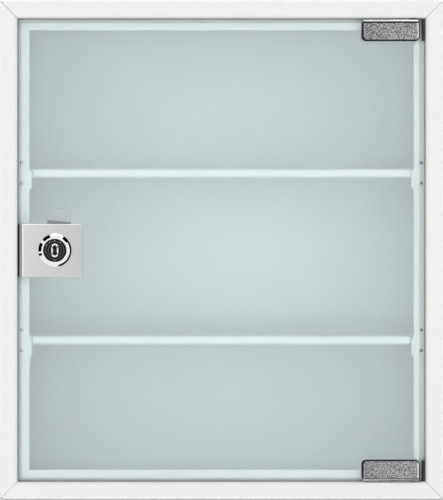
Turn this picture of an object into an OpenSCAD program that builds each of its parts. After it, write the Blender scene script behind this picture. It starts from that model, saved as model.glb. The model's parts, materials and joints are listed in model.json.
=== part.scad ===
// Lockable medicine cabinet: a folded sheet-steel body with a mitred front frame,
// two fixed shelves, and a frosted glass door that turns on two pivot hinges and
// is closed by a cam lock clamped round the glass.
//
// X runs to the right as seen from the front, Y to the back and Z up. The origin
// is at the base, under the middle of the cabinet's overall box.

/* [Body] */
// Width of the steel body
body_w = 320; // [260:1:600]
// Height of the steel body
body_h = 360; // [310:1:700]
// Depth of the steel body, back panel included
body_d = 200; // [90:1:350]
// Thickness of the sheet steel
sheet_t = 0.8; // [0.6:0.1:1.2]
// Inside radius of the sharp folds
fold_in_r = 0.5; // [0.3:0.1:1.5]
// Width of the flange that carries the back panel
rear_flange_w = 12; // [6:0.5:25]

/* [Front frame] */
// Width of the frame's face, its rounded inner edge included
frame_face_w = 12.5; // [9:0.5:30]
// Inside radius of the soft fold at the frame's inner edge
edge_in_r = 2.2; // [1:0.1:4]
// How far the door stop reaches into the opening
stop_w = 8; // [7:0.1:16]
// Free depth between the hinge clamps and the door stop
stop_clearance = 3.5; // [2.5:0.1:10]
// Width of the seam between two mitred panels
mitre_gap = 0.3; // [0.1:0.05:0.6]
// Radius of the relief hole at each outer corner of the frame
relief_r = 0.6; // [0.3:0.1:1]

/* [Wall screws] */
// Diameter of each wall screw hole
wall_hole_d = 7; // [4:0.5:12]
// Distance of a wall screw hole from the body's side
wall_hole_inset_x = 40; // [25:1:80]
// Distance of a wall screw hole from the body's top or base
wall_hole_inset_z = 40; // [25:1:80]

/* [Shelves] */
// Height of the upper shelf's top
shelf_upper_z = 239; // [200:1:270]
// Height of the lower shelf's top
shelf_lower_z = 117.6; // [70:0.1:150]
// Height of a shelf's front lip
shelf_lip_h = 6.4; // [4:0.1:20]
// Depth of the fold under the front lip
shelf_lip_return = 6; // [3:0.5:15]
// Height of the upstand at a shelf's back
shelf_upstand_h = 8; // [4:0.5:25]
// Outside radius of a shelf's front folds
shelf_fold_r = 1.6; // [1.4:0.1:2]
// Free depth between the lock's tail and a shelf's front
shelf_setback = 0.5; // [0.3:0.1:20]
// Side clearance between a shelf and the body's front and rear openings
shelf_side_gap = 2; // [1:0.5:5]
// Height of a shelf rail
rail_h = 13.7; // [12:0.1:30]
// How far a shelf rail shows past the door stop's edge
rail_reveal = 1.7; // [1:0.1:5]
// Free depth behind a shelf rail
rail_back_gap = 3; // [1:0.5:20]
// Height of the rail's upper tab above the shelf
tab_h = 8; // [6:0.5:14]
// Height of a rail's upper rivet above the shelf's top
rivet_above = 4.3; // [3:0.1:6]
// Depth of a rail's lower rivet under the shelf's top
rivet_below = 10.5; // [8:0.1:12]
// Distance of the rivets from the opening's edge
rivet_inset = 2.5; // [2:0.1:4]
// Diameter of a rivet's shank
rivet_d = 1.6; // [1:0.1:2.4]
// Diameter of a rivet's head
rivet_head_d = 2.6; // [2:0.1:4]
// Height of a rivet's head
rivet_head_h = 0.6; // [0.3:0.1:1]

/* [Door glass] */
// Thickness of the glass
glass_t = 4; // [3:0.5:6]
// Radius of the glass's corners
glass_corner_r = 1.2; // [0.5:0.1:6]
// Gap between the glass and the opening on the lock side
door_gap_lock = 2.5; // [1.8:0.1:5]
// Gap between the glass and the opening on the hinge side
door_gap_hinge = 4.4; // [3:0.1:8]
// Gap between the glass and the opening at the top
door_gap_top = 3; // [2.6:0.1:8]

/* [Hinges] */
// Width of a hinge clamp
clamp_w = 41; // [25:0.5:70]
// How far a hinge clamp's jaws reach over the glass
clamp_jaw_h = 12.8; // [10:0.1:25]
// Thickness of a clamp's jaw
clamp_jaw_t = 2; // [1.5:0.1:4]
// Thickness of the clamp over the glass's edge
clamp_web_t = 1.8; // [1.2:0.1:4]
// Clearance between the clamp and the glass's edge
clamp_web_gap = 0.2; // [0.1:0.05:0.5]
// Radius of the clamp's free corners
clamp_corner_r = 2.5; // [1:0.1:6]
// Outside radius of the clamp where it turns over the glass's edge
clamp_fold_r = 2; // [1:0.1:2.4]
// Distance of the clamp's end from the glass's hinge edge
clamp_inset = 0.2; // [0.1:0.1:5]
// How far the clamp's face lies behind the frame's face
clamp_setback = 0.5; // [0.2:0.1:3]
// Thickness of the pads between clamp and glass
pad_t = 0.5; // [0.3:0.1:1.5]
// Distance of the pads from the clamp's free edges
pad_margin = 1; // [0.5:0.1:4]
// Gap under the lower clamp
clamp_floor_gap = 0.4; // [0.2:0.05:2]
// Distance of the pivot from the opening's edge
pivot_inset = 9.2; // [7:0.1:14]
// Diameter of a pivot pin
pin_d = 3; // [2:0.1:4.5]
// Diametral running clearance of a pivot pin in its bush
pin_clearance = 0.1; // [0.04:0.02:0.2]
// Wall of a pivot bush
bush_wall = 0.8; // [0.5:0.1:2]
// How far a bush's flange reaches past its barrel
bush_rim = 0.7; // [0.4:0.1:1.5]
// Length of a bush behind the sheet
bush_tail = 3; // [1:0.5:6]
// Diameter of a grub screw
grub_d = 4; // [3:0.5:6]
// Distance between a clamp's two grub screws
grub_pitch = 20; // [10:0.5:28]
// How far a grub screw stands out of its jaw
grub_proud = 0.5; // [0.2:0.1:1]
// Width of a grub screw's hexagon socket
grub_socket = 2; // [1.5:0.5:3]

/* [Lock clamp] */
// Width of the lock clamp's face
lock_plate_w = 45.5; // [36:0.1:60]
// Height of the lock clamp
lock_plate_h = 38; // [30:0.5:60]
// Thickness of the lock clamp's sheet
lock_plate_t = 1; // [0.8:0.1:1.6]
// Outside radius of the lock clamp's folds
lock_fold_r = 2; // [1.8:0.1:3]
// Radius of the lock clamp's free corners
lock_corner_r = 1; // [0.5:0.1:5]
// Clearance between the lock clamp and the glass's edge
lock_web_gap = 0.2; // [0.2:0.05:0.5]
// Distance of the lock's axis from the glass's edge
lock_inset = 24.8; // [20:0.1:30]
// Height of the lock above the middle of the door
lock_rise = 0; // [-25:0.5:25]

/* [Cam lock] */
// Diameter of the chrome ring
ring_d = 24.2; // [21:0.1:30]
// Height of the chrome ring's crest
ring_h = 3.8; // [2.5:0.1:6]
// Height of the chrome ring's outer edge
ring_edge_h = 1; // [0.5:0.1:2]
// Diameter of the lock's face inside the ring
lock_head_d = 16.4; // [15.4:0.1:18]
// How far the lock's face lies behind the ring's crest
lock_head_drop = 0.4; // [0.2:0.1:1]
// Diameter of the threaded barrel
barrel_d = 15; // [14:0.1:15.2]
// Distance across the barrel's two flats
barrel_flats = 13.4; // [12.8:0.1:13.8]
// Clearance round the barrel in the lock clamp
barrel_gap = 0.1; // [0.05:0.05:0.3]
// Clearance round the barrel in the glass
glass_hole_gap = 1; // [0.5:0.1:2]
// Diameter of the turning plug
plug_d = 11.4; // [10.6:0.1:12]
// Diametral running clearance of the plug in the barrel
plug_clearance = 0.1; // [0.04:0.02:0.2]
// How far the plug's face lies behind the lock's face
plug_drop = 0.2; // [0:0.1:1]
// Width of the keyway
key_w = 1.5; // [1:0.1:2]
// Height of the keyway
key_h = 7.5; // [6:0.1:8]
// Number of wafers in the plug
wafer_count = 5; // [3:1:6]
// Thickness of a wafer
wafer_t = 0.6; // [0.4:0.1:0.8]
// Distance between two wafers
wafer_pitch = 1.6; // [1.4:0.1:1.8]
// Depth of the first wafer behind the lock clamp's face
wafer_first = 2.4; // [1.5:0.1:2.8]
// Width of a wafer
wafer_w = 5.6; // [4.5:0.1:6]
// Height of a wafer
wafer_h = 8.8; // [8.4:0.1:9]
// Clearance of a wafer in its slot
wafer_gap = 0.15; // [0.1:0.05:0.2]
// Thickness of the lock washer
washer_t = 0.6; // [0.4:0.1:1.5]
// Distance across the lock nut's flats
nut_flats = 19; // [18:0.5:22]
// Thickness of the lock nut
nut_t = 3; // [2:0.1:3.5]

/* [Cam] */
// Reach of the cam from the lock's axis
cam_reach = 30.4; // [28:0.1:32]
// Width of the cam
cam_w = 16.7; // [14:0.1:20]
// Thickness of the cam
cam_t = 2; // [1.5:0.1:3]
// Clearance between the cam and the back of the door stop
cam_gap = 1; // [0.6:0.1:3]
// Clearance between the cam and the end of the barrel
cam_run_gap = 0.3; // [0.2:0.1:0.8]
// Lean of the unlocked cam from upright, in degrees
cam_lean = 6; // [0:1:15]
// Side of the plug's square tail
tail_side = 6; // [5:0.1:7]
// Clearance of the square tail in the cam
tail_gap = 0.1; // [0.05:0.05:0.2]
// Diameter of the cam washer
cam_washer_d = 11; // [10:0.5:14]
// Thickness of the cam washer
cam_washer_t = 0.8; // [0.5:0.1:1.5]
// Diameter of the cam screw's head
cam_screw_head_d = 8; // [6:0.5:9]
// Height of the cam screw's head
cam_screw_head_h = 1.6; // [1.2:0.1:2.4]
// Diameter of the cam screw's shank
cam_screw_d = 3; // [2.5:0.1:3.5]

/* [Door buffer] */
// Width of the rubber buffer on the door stop
buffer_w = 6; // [4:0.5:6.5]
// Height of the rubber buffer
buffer_h = 16; // [8:0.5:24]
// Gap between the rubber buffer and the closed door
buffer_gap = 0.3; // [0.1:0.1:0.6]

/* [Hidden] */

$fn = 64;
overcut = 1;            // how far a cutting solid runs past what it cuts
seat_gap = 0.02;        // what stays free between a hole and what is pressed or riveted into it
rail_shelf_gap = 0.3;   // between a shelf's lip and the rails beside it
shelf_back_gap = 0.3;   // between a shelf's upstand and the back panel
clamp_bush_gap = 0.05;  // between the lower clamp and the bush that it turns on
socket_share = 0.6;      // depth of a screw's socket, as a share of what holds it

// Radii of the folds, measured outside
fold_r = fold_in_r + sheet_t;
edge_r = edge_in_r + sheet_t;

// Depths, from the front to the back
ring_front = ring_h - (clamp_setback + clamp_jaw_t - lock_plate_t);
front_y = -(body_d + max(0, ring_front)) / 2;
clamp_y = front_y + clamp_setback;
glass_y = clamp_y + clamp_jaw_t + pad_t;
glass_back_y = glass_y + glass_t;
clamp_slot = glass_t + 2 * pad_t;
clamp_depth = clamp_slot + 2 * clamp_jaw_t;
stop_y = clamp_y + clamp_depth + stop_clearance;
stop_back_y = stop_y + sheet_t;
back_y = front_y + body_d;
wall_end_y = back_y - sheet_t;
pivot_y = glass_y + glass_t / 2;

lock_plate_y = glass_y - pad_t - lock_plate_t;
lock_plate_back_y = glass_back_y + pad_t + lock_plate_t;
cam_y = stop_back_y + cam_gap;
barrel_end_y = cam_y - cam_run_gap;
lock_tail_y = cam_y + cam_t + cam_washer_t + cam_screw_head_h;
shelf_y = lock_tail_y + shelf_setback;
shelf_back_y = wall_end_y - shelf_back_gap;
rail_back_y = wall_end_y - sheet_t - rail_back_gap;

// Widths and heights of the door's opening and of the glass
opening_x = body_w / 2 - frame_face_w;
opening_bottom = frame_face_w;
opening_top = body_h - frame_face_w;
stop_x = opening_x - stop_w;
glass_left = -opening_x + door_gap_lock;
glass_right = opening_x - door_gap_hinge;
glass_bottom = opening_bottom + clamp_floor_gap + clamp_web_t + clamp_web_gap;
glass_top = opening_top - door_gap_top;
pivot_x = opening_x - pivot_inset;
clamp_right = glass_right - clamp_inset;
clamp_left = clamp_right - clamp_w;
clamp_mid = clamp_right - clamp_w / 2;
clamp_foot = glass_top - clamp_jaw_h;
clamp_top = glass_top + clamp_web_gap + clamp_web_t;
lock_x = glass_left + lock_inset;
lock_z = (glass_bottom + glass_top) / 2 + lock_rise;
lock_plate_left = glass_left - lock_web_gap - lock_plate_t;

rail_x = stop_x - rail_reveal;
shelf_x = opening_x - shelf_side_gap;
lip_x = rail_x - rail_shelf_gap;
rivet_x = opening_x - rivet_inset;

pin_r = pin_d / 2;
bush_bore_r = pin_r + pin_clearance / 2;
bush_r = bush_bore_r + bush_wall;
bush_flange_t = clamp_floor_gap - clamp_bush_gap;
barrel_r = barrel_d / 2;
plug_r = plug_d / 2;
plug_bore_r = plug_r + plug_clearance / 2;
lock_head_h = ring_h - lock_head_drop;
plug_h = lock_head_h - plug_drop;
barrel_len = barrel_end_y - lock_plate_y;
glass_hole_r = barrel_r + glass_hole_gap;

steel_white = "whitesmoke";
zinc = "darkgray";
stainless = "silver";
chrome = "gainsboro";
rubber = "dimgray";
nylon = "black";

// ---- Shared shapes ----------------------------------------------------------

// A flat outline, drawn in X and Z, that is as deep as asked and starts at y
module slab(y, depth) {
    translate([0, y + depth, 0])
        rotate([90, 0, 0])
            linear_extrude(depth)
                children();
}

// A section that runs across the cabinet from one x to another: its u runs
// backwards from y, its v upwards from z
module across(x0, x1, y, z) {
    translate([x0, y, z])
        rotate([90, 0, 90])
            linear_extrude(x1 - x0)
                children();
}

// A quarter ring of sheet round the origin, in the first quadrant before its turn
module fold(r_out, turn, t = sheet_t) {
    rotate(turn)
        intersection() {
            difference() {
                circle(r = r_out);
                circle(r = r_out - t);
            }
            square(r_out + overcut);
        }
}

// A rectangle from the origin with one radius on all four corners
module rounded_rect(w, h, r) {
    translate([r, 0])
        square([w - 2 * r, h]);
    translate([0, r])
        square([w, h - 2 * r]);
    for (x = [r, w - r], y = [r, h - r])
        translate([x, y])
            circle(r = r);
}

// A rectangle whose two lower corners are round
module tongue(w, h, r) {
    translate([0, r])
        square([w, h - r]);
    translate([r, 0])
        square([w - 2 * r, r]);
    for (x = [r, w - r])
        translate([x, r])
            circle(r = r);
}

// Places what is drawn about the origin on the lock's axis: its +Z points
// forwards from the lock clamp's face, its +Y points up
module on_lock() {
    translate([lock_x, lock_plate_y, lock_z])
        rotate([90, 0, 0])
            children();
}

// Local height, on the lock's axis, of a depth in the cabinet
function lock_height(y) = lock_plate_y - y;

// ---- Body -------------------------------------------------------------------

// Section of a folded panel: u runs inwards from its outer face, v backwards
module panel_section() {
    wall_v = wall_end_y - front_y;
    stop_v = stop_y - front_y;
    return_u = frame_face_w - sheet_t;
    translate([0, fold_r])
        square([sheet_t, wall_v - 2 * fold_r]);
    translate([fold_r, fold_r])
        fold(fold_r, 180);
    translate([fold_r, 0])
        square([frame_face_w - fold_r - edge_r, sheet_t]);
    translate([frame_face_w - edge_r, edge_r])
        fold(edge_r, 270);
    translate([return_u, edge_r])
        square([sheet_t, stop_v + sheet_t - fold_r - edge_r]);
    translate([return_u + fold_r, stop_v + sheet_t - fold_r])
        fold(fold_r, 90);
    translate([return_u + fold_r, stop_v])
        square([frame_face_w + stop_w - return_u - fold_r, sheet_t]);
    translate([fold_r, wall_v - fold_r])
        fold(fold_r, 90);
    translate([fold_r, wall_v - sheet_t])
        square([rear_flange_w - fold_r, sheet_t]);
}

// A panel of the body with both ends mitred, standing at x = 0 from z = 0
module panel(length) {
    reach = max(frame_face_w + stop_w, rear_flange_w) + overcut;
    half_seam = mitre_gap / sqrt(2);
    difference() {
        intersection() {
            translate([0, front_y, 0])
                linear_extrude(length)
                    panel_section();
            slab(front_y - overcut, body_d + 2 * overcut)
                polygon([
                    [0, half_seam],
                    [reach, reach + half_seam],
                    [reach, length - reach - half_seam],
                    [0, length - half_seam]
                ]);
        }
        for (z = [fold_r, length - fold_r])
            translate([fold_r, 0, z])
                slab(front_y - overcut, fold_r + overcut)
                    circle(r = relief_r);
    }
}

// Holes in a side panel's door stop for the rivets of both rails
module rivet_holes() {
    for (shelf_z = [shelf_upper_z, shelf_lower_z], z = [shelf_z + rivet_above, shelf_z - rivet_below])
        translate([-rivet_x, 0, z])
            slab(stop_y - overcut, sheet_t + 2 * overcut)
                circle(d = rivet_d + 2 * seat_gap, $fn = 32);
}

module side_panel_left() {
    color(steel_white)
        difference() {
            translate([-body_w / 2, 0, 0])
                panel(body_h);
            rivet_holes();
        }
}

module side_panel_right() {
    color(steel_white)
        mirror([1, 0, 0])
            side_panel_left();
}

// The panel that lies across the top, with the upper bush's hole
module lying_panel() {
    difference() {
        translate([-body_w / 2, 0, body_h])
            rotate([0, 90, 0])
                panel(body_w);
        translate([pivot_x, pivot_y, opening_top - overcut])
            cylinder(r = bush_r + seat_gap, h = sheet_t + 2 * overcut);
    }
}

module top_panel() {
    color(steel_white)
        lying_panel();
}

module bottom_panel() {
    color(steel_white)
        translate([0, 0, body_h])
            mirror([0, 0, 1])
                lying_panel();
}

module back_panel() {
    hole_x = body_w / 2 - wall_hole_inset_x;
    color(steel_white)
        slab(wall_end_y, sheet_t)
            difference() {
                translate([-body_w / 2, 0])
                    square([body_w, body_h]);
                for (x = [-hole_x, hole_x], z = [wall_hole_inset_z, body_h - wall_hole_inset_z])
                    translate([x, z])
                        circle(d = wall_hole_d);
            }
}

// ---- Shelves and their rails --------------------------------------------------

// Section of a shelf through its front lip: u runs backwards from the shelf's
// front, v upwards from the shelf's top
module shelf_section() {
    depth = shelf_back_y - shelf_y;
    translate([shelf_fold_r, -sheet_t])
        square([depth - shelf_fold_r - fold_r, sheet_t]);
    translate([shelf_fold_r, -shelf_fold_r])
        fold(shelf_fold_r, 90);
    translate([0, shelf_fold_r - shelf_lip_h])
        square([sheet_t, shelf_lip_h - 2 * shelf_fold_r]);
    translate([shelf_fold_r, shelf_fold_r - shelf_lip_h])
        fold(shelf_fold_r, 180);
    translate([shelf_fold_r, -shelf_lip_h])
        square([shelf_lip_return - shelf_fold_r, sheet_t]);
    shelf_back_section();
}

// The fold and the upstand at a shelf's back, in the same section
module shelf_back_section() {
    depth = shelf_back_y - shelf_y;
    translate([depth - fold_r, fold_r - sheet_t])
        fold(fold_r, 270);
    translate([depth - sheet_t, fold_r - sheet_t])
        square([sheet_t, shelf_upstand_h - fold_r + sheet_t]);
}

// Section of a shelf's ends, which lie on the rails and have no lip
module shelf_end_section() {
    depth = shelf_back_y - shelf_y;
    translate([shelf_fold_r, -sheet_t])
        square([depth - shelf_fold_r - fold_r, sheet_t]);
    shelf_back_section();
}

module shelf(z) {
    color(steel_white)
        union() {
            across(-lip_x, lip_x, shelf_y, z)
                shelf_section();
            across(-shelf_x, -lip_x, shelf_y, z)
                shelf_end_section();
            across(lip_x, shelf_x, shelf_y, z)
                shelf_end_section();
        }
}

module shelf_upper() {
    shelf(shelf_upper_z);
}

module shelf_lower() {
    shelf(shelf_lower_z);
}

// Section of the left rail in X and Z: wall flange, ledge under the shelf, inner lip
module rail_section(top_z) {
    wall_x = -body_w / 2 + sheet_t;
    translate([wall_x, top_z - rail_h])
        square([sheet_t, rail_h - fold_r]);
    translate([wall_x + fold_r, top_z - fold_r])
        fold(fold_r, 90);
    translate([wall_x + fold_r, top_z - sheet_t])
        square([-rail_x - wall_x - 2 * fold_r, sheet_t]);
    translate([-rail_x - fold_r, top_z - fold_r])
        fold(fold_r, 0);
    translate([-rail_x - sheet_t, top_z - rail_h])
        square([sheet_t, rail_h - fold_r]);
}

// The left rail under a shelf, with the two tabs that are riveted to the door stop
module rail(shelf_z) {
    top_z = shelf_z - sheet_t;
    tab_left = -opening_x + fold_in_r;
    color(steel_white)
        difference() {
            union() {
                slab(stop_back_y + sheet_t, rail_back_y - stop_back_y - sheet_t)
                    rail_section(top_z);
                slab(stop_back_y, sheet_t)
                    translate([tab_left, top_z - rail_h])
                        square([-rail_x - tab_left, rail_h - fold_r]);
                slab(stop_back_y, sheet_t)
                    translate([tab_left, top_z - sheet_t])
                        square([-stop_x - tab_left - sheet_t, tab_h + 2 * sheet_t]);
            }
            for (z = [shelf_z + rivet_above, shelf_z - rivet_below])
                translate([-rivet_x, 0, z])
                    slab(stop_back_y - overcut, sheet_t + 2 * overcut)
                        circle(d = rivet_d + 2 * seat_gap, $fn = 32);
        }
}

module shelf_rail_upper_left() {
    rail(shelf_upper_z);
}

module shelf_rail_upper_right() {
    mirror([1, 0, 0])
        rail(shelf_upper_z);
}

module shelf_rail_lower_left() {
    rail(shelf_lower_z);
}

module shelf_rail_lower_right() {
    mirror([1, 0, 0])
        rail(shelf_lower_z);
}

// A rivet through the door stop and a rail's tab: flat head in front, peened behind
module rivet(x, z) {
    translate([x, 0, z]) {
        slab(stop_y - rivet_head_h, rivet_head_h)
            circle(d = rivet_head_d, $fn = 32);
        slab(stop_y - rivet_head_h / 2, 2 * sheet_t + rivet_head_h)
            circle(d = rivet_d, $fn = 32);
        slab(stop_back_y + sheet_t, rivet_head_h)
            circle(d = rivet_head_d, $fn = 32);
    }
}

module shelf_rivets() {
    color(steel_white)
        for (x = [-rivet_x, rivet_x], shelf_z = [shelf_upper_z, shelf_lower_z])
            for (z = [shelf_z + rivet_above, shelf_z - rivet_below])
                rivet(x, z);
}

// ---- Hinges -------------------------------------------------------------------

// Everything of the upper hinge is drawn here, and the lower one is its mirror
// image, moved so that its edge of the glass is the lower one
module lower_hinge() {
    translate([0, 0, glass_top + glass_bottom])
        mirror([0, 0, 1])
            children();
}

// A nylon bush in a panel: its rim lies on the opening's side of the sheet
module bush(z) {
    color(nylon)
        translate([pivot_x, pivot_y, z])
            difference() {
                union() {
                    translate([0, 0, -bush_flange_t])
                        cylinder(r = bush_r + bush_rim, h = bush_flange_t);
                    cylinder(r = bush_r, h = sheet_t + bush_tail);
                }
                translate([0, 0, -bush_flange_t - overcut])
                    cylinder(r = bush_bore_r, h = bush_flange_t + sheet_t + bush_tail + 2 * overcut);
            }
}

module hinge_bush_upper() {
    bush(opening_top);
}

module hinge_bush_lower() {
    translate([0, 0, body_h])
        mirror([0, 0, 1])
            bush(opening_top);
}

// Section of the upper clamp through its jaws and its web
module clamp_section() {
    height = clamp_top - clamp_foot;
    difference() {
        translate([0, height])
            mirror([0, 1, 0])
                tongue(clamp_depth, height, clamp_fold_r);
        translate([clamp_jaw_t, -overcut])
            square([clamp_slot, clamp_jaw_h + clamp_web_gap + overcut]);
    }
}

module clamp() {
    color(zinc)
        difference() {
            intersection() {
                across(clamp_left, clamp_right, clamp_y, clamp_foot)
                    clamp_section();
                slab(clamp_y, clamp_depth)
                    translate([clamp_left, clamp_foot])
                        tongue(clamp_w, clamp_top - clamp_foot, clamp_corner_r);
            }
            translate([pivot_x, pivot_y, glass_top])
                cylinder(r = pin_r + seat_gap, h = clamp_web_gap + clamp_web_t + overcut);
            for (x = [-grub_pitch / 2, grub_pitch / 2])
                translate([clamp_mid + x, 0, glass_top - clamp_jaw_h / 2])
                    slab(clamp_y + clamp_depth - clamp_jaw_t - overcut, clamp_jaw_t + 2 * overcut)
                        circle(d = grub_d + 2 * seat_gap);
        }
}

module hinge_clamp_upper() {
    clamp();
}

module hinge_clamp_lower() {
    lower_hinge()
        clamp();
}

module pads() {
    color(rubber)
        for (y = [glass_y - pad_t, glass_back_y])
            slab(y, pad_t)
                translate([clamp_left + pad_margin, clamp_foot + pad_margin])
                    tongue(clamp_w - 2 * pad_margin, clamp_jaw_h - pad_margin, clamp_corner_r - pad_margin / 2);
}

module hinge_pads_upper() {
    pads();
}

module hinge_pads_lower() {
    lower_hinge()
        pads();
}

// The pivot pin stands in the clamp's web and turns in the bush
module pin(length) {
    color(stainless)
        translate([pivot_x, pivot_y, glass_top + clamp_web_gap])
            cylinder(r = pin_r, h = length);
}

module hinge_pin_upper() {
    pin(door_gap_top - clamp_web_gap + sheet_t + bush_tail);
}

module hinge_pin_lower() {
    lower_hinge()
        pin(clamp_web_t + clamp_floor_gap + sheet_t + bush_tail);
}

module grub_screws() {
    color(stainless)
        for (x = [-grub_pitch / 2, grub_pitch / 2])
            translate([clamp_mid + x, 0, glass_top - clamp_jaw_h / 2])
                difference() {
                    slab(glass_back_y + pad_t, clamp_jaw_t + grub_proud)
                        circle(d = grub_d);
                    slab(glass_back_y + pad_t + clamp_jaw_t * (1 - socket_share), clamp_jaw_t + grub_proud)
                        circle(d = grub_socket, $fn = 6);
                }
}

module hinge_grub_screws() {
    grub_screws();
    lower_hinge()
        grub_screws();
}

// ---- Door -----------------------------------------------------------------------

module door_glass() {
    color("lightcyan", 0.5)
        slab(glass_y, glass_t)
            difference() {
                translate([glass_left, glass_bottom])
                    rounded_rect(glass_right - glass_left, glass_top - glass_bottom, glass_corner_r);
                translate([lock_x, lock_z])
                    circle(r = glass_hole_r);
            }
}

// The barrel's cross-section: round with two flats, with a clearance all round it
module barrel_outline(gap) {
    intersection() {
        circle(r = barrel_r + gap);
        square([barrel_flats + 2 * gap, barrel_d + 2 * gap + overcut], center = true);
    }
}

// Section of the lock clamp in X and Y: a sheet bent round the edge of the glass
module lock_clamp_section() {
    depth = lock_plate_back_y - lock_plate_y;
    for (y = [0, depth - lock_plate_t])
        translate([lock_fold_r, y])
            square([lock_plate_w - lock_fold_r, lock_plate_t]);
    translate([lock_fold_r, lock_fold_r])
        fold(lock_fold_r, 180, lock_plate_t);
    translate([lock_fold_r, depth - lock_fold_r])
        fold(lock_fold_r, 90, lock_plate_t);
    translate([0, lock_fold_r])
        square([lock_plate_t, depth - 2 * lock_fold_r]);
}

module lock_clamp() {
    depth = lock_plate_back_y - lock_plate_y;
    color(stainless)
        difference() {
            intersection() {
                translate([lock_plate_left, lock_plate_y, lock_z - lock_plate_h / 2])
                    linear_extrude(lock_plate_h)
                        lock_clamp_section();
                slab(lock_plate_y - overcut, depth + 2 * overcut)
                    translate([lock_plate_left - lock_corner_r, lock_z - lock_plate_h / 2])
                        rounded_rect(lock_plate_w + lock_corner_r, lock_plate_h, lock_corner_r);
            }
            on_lock()
                translate([0, 0, -depth - overcut])
                    linear_extrude(depth + 2 * overcut)
                        barrel_outline(barrel_gap);
        }
}

module lock_pads() {
    color(rubber)
        for (y = [glass_y - pad_t, glass_back_y])
            slab(y, pad_t)
                difference() {
                    translate([glass_left + pad_margin, lock_z - lock_plate_h / 2 + pad_margin])
                        square([
                            lock_plate_left + lock_plate_w - glass_left - 2 * pad_margin,
                            lock_plate_h - 2 * pad_margin
                        ]);
                    translate([lock_x, lock_z])
                        circle(r = glass_hole_r);
                }
}

// ---- Cam lock -------------------------------------------------------------------

module lock_ring() {
    inner_r = lock_head_d / 2 + barrel_gap;
    outer_r = ring_d / 2;
    crest_w = (outer_r - inner_r) / 5;
    color(chrome)
        on_lock()
            rotate_extrude($fn = 96)
                polygon([
                    [inner_r, 0],
                    [outer_r, 0],
                    [outer_r, ring_edge_h],
                    [inner_r + crest_w, ring_h],
                    [inner_r, ring_h]
                ]);
}

module lock_barrel() {
    color(chrome)
        on_lock()
            difference() {
                union() {
                    cylinder(d = lock_head_d, h = lock_head_h);
                    translate([0, 0, -barrel_len])
                        linear_extrude(barrel_len + lock_head_h / 2)
                            barrel_outline(0);
                }
                translate([0, 0, -barrel_len - overcut])
                    cylinder(r = plug_bore_r, h = barrel_len + lock_head_h + 2 * overcut);
            }
}

module lock_washer() {
    color(stainless)
        on_lock()
            translate([0, 0, lock_height(lock_plate_back_y) - washer_t])
                difference() {
                    cylinder(d = nut_flats, h = washer_t);
                    translate([0, 0, -overcut])
                        cylinder(r = barrel_r + barrel_gap, h = washer_t + 2 * overcut);
                }
}

module lock_nut() {
    color(stainless)
        on_lock()
            translate([0, 0, lock_height(lock_plate_back_y) - washer_t - nut_t])
                difference() {
                    cylinder(d = nut_flats / cos(30), h = nut_t, $fn = 6);
                    translate([0, 0, -overcut])
                        cylinder(r = barrel_r + seat_gap, h = nut_t + 2 * overcut);
                }
}

// ---- What the key turns ---------------------------------------------------------

// Local height of a wafer's front face, the first wafer nearest to the front
function wafer_height(i) = -wafer_first - i * wafer_pitch;

module lock_plug() {
    key_depth = wafer_first + wafer_count * wafer_pitch;
    tail_len = cam_y + cam_t - barrel_end_y;
    color("dimgray")
        on_lock()
            difference() {
                union() {
                    translate([0, 0, -barrel_len])
                        cylinder(r = plug_r, h = barrel_len + plug_h);
                    rotate(-cam_lean)
                        translate([-tail_side / 2, -tail_side / 2, -barrel_len - tail_len])
                            cube([tail_side, tail_side, tail_len + overcut]);
                }
                translate([-key_w / 2, -key_h / 2, -key_depth])
                    cube([key_w, key_h, key_depth + plug_h + overcut]);
                for (i = [0 : wafer_count - 1])
                    translate([
                        -wafer_w / 2 - wafer_gap,
                        -wafer_h / 2 - wafer_gap,
                        wafer_height(i) - wafer_t - wafer_gap / 2
                    ])
                        cube([wafer_w + 2 * wafer_gap, wafer_h + 2 * wafer_gap, wafer_t + wafer_gap]);
                translate([0, 0, lock_height(cam_y + cam_t) - overcut])
                    cylinder(d = cam_screw_d + 2 * seat_gap, h = tail_len + 2 * overcut);
            }
}

module lock_wafers() {
    color("goldenrod")
        on_lock()
            for (i = [0 : wafer_count - 1])
                translate([0, 0, wafer_height(i) - wafer_t])
                    linear_extrude(wafer_t)
                        difference() {
                            square([wafer_w, wafer_h], center = true);
                            square([key_w + 2 * wafer_gap, key_h - 2 * wafer_gap], center = true);
                        }
}

module lock_cam() {
    cam_r = cam_w / 2;
    hole_side = tail_side + 2 * tail_gap;
    color(stainless)
        on_lock()
            rotate(-cam_lean)
                translate([0, 0, lock_height(cam_y + cam_t)])
                    linear_extrude(cam_t)
                        difference() {
                            union() {
                                circle(r = cam_r);
                                translate([-cam_r, 0])
                                    square([cam_w, cam_reach - cam_r]);
                                translate([0, cam_reach - cam_r])
                                    circle(r = cam_r);
                            }
                            square(hole_side, center = true);
                        }
}

module cam_washer() {
    color(stainless)
        on_lock()
            translate([0, 0, lock_height(cam_y + cam_t) - cam_washer_t])
                difference() {
                    cylinder(d = cam_washer_d, h = cam_washer_t);
                    translate([0, 0, -overcut])
                        cylinder(d = cam_screw_d + 2 * barrel_gap, h = cam_washer_t + 2 * overcut);
                }
}

module cam_screw() {
    head_z = lock_height(lock_tail_y);
    shank_len = cam_washer_t + cam_t + cam_run_gap;
    color(stainless)
        on_lock()
            difference() {
                union() {
                    translate([0, 0, head_z])
                        cylinder(d = cam_screw_head_d, h = cam_screw_head_h);
                    translate([0, 0, head_z])
                        cylinder(d = cam_screw_d, h = cam_screw_head_h + shank_len);
                }
                for (turn = [0, 90])
                    rotate(turn)
                        translate([-cam_screw_head_d / 4, -cam_screw_d / 8, head_z - overcut])
                            cube([
                                cam_screw_head_d / 2,
                                cam_screw_d / 4,
                                cam_screw_head_h * socket_share + overcut
                            ]);
            }
}

// ---- Door buffer ------------------------------------------------------------------

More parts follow.
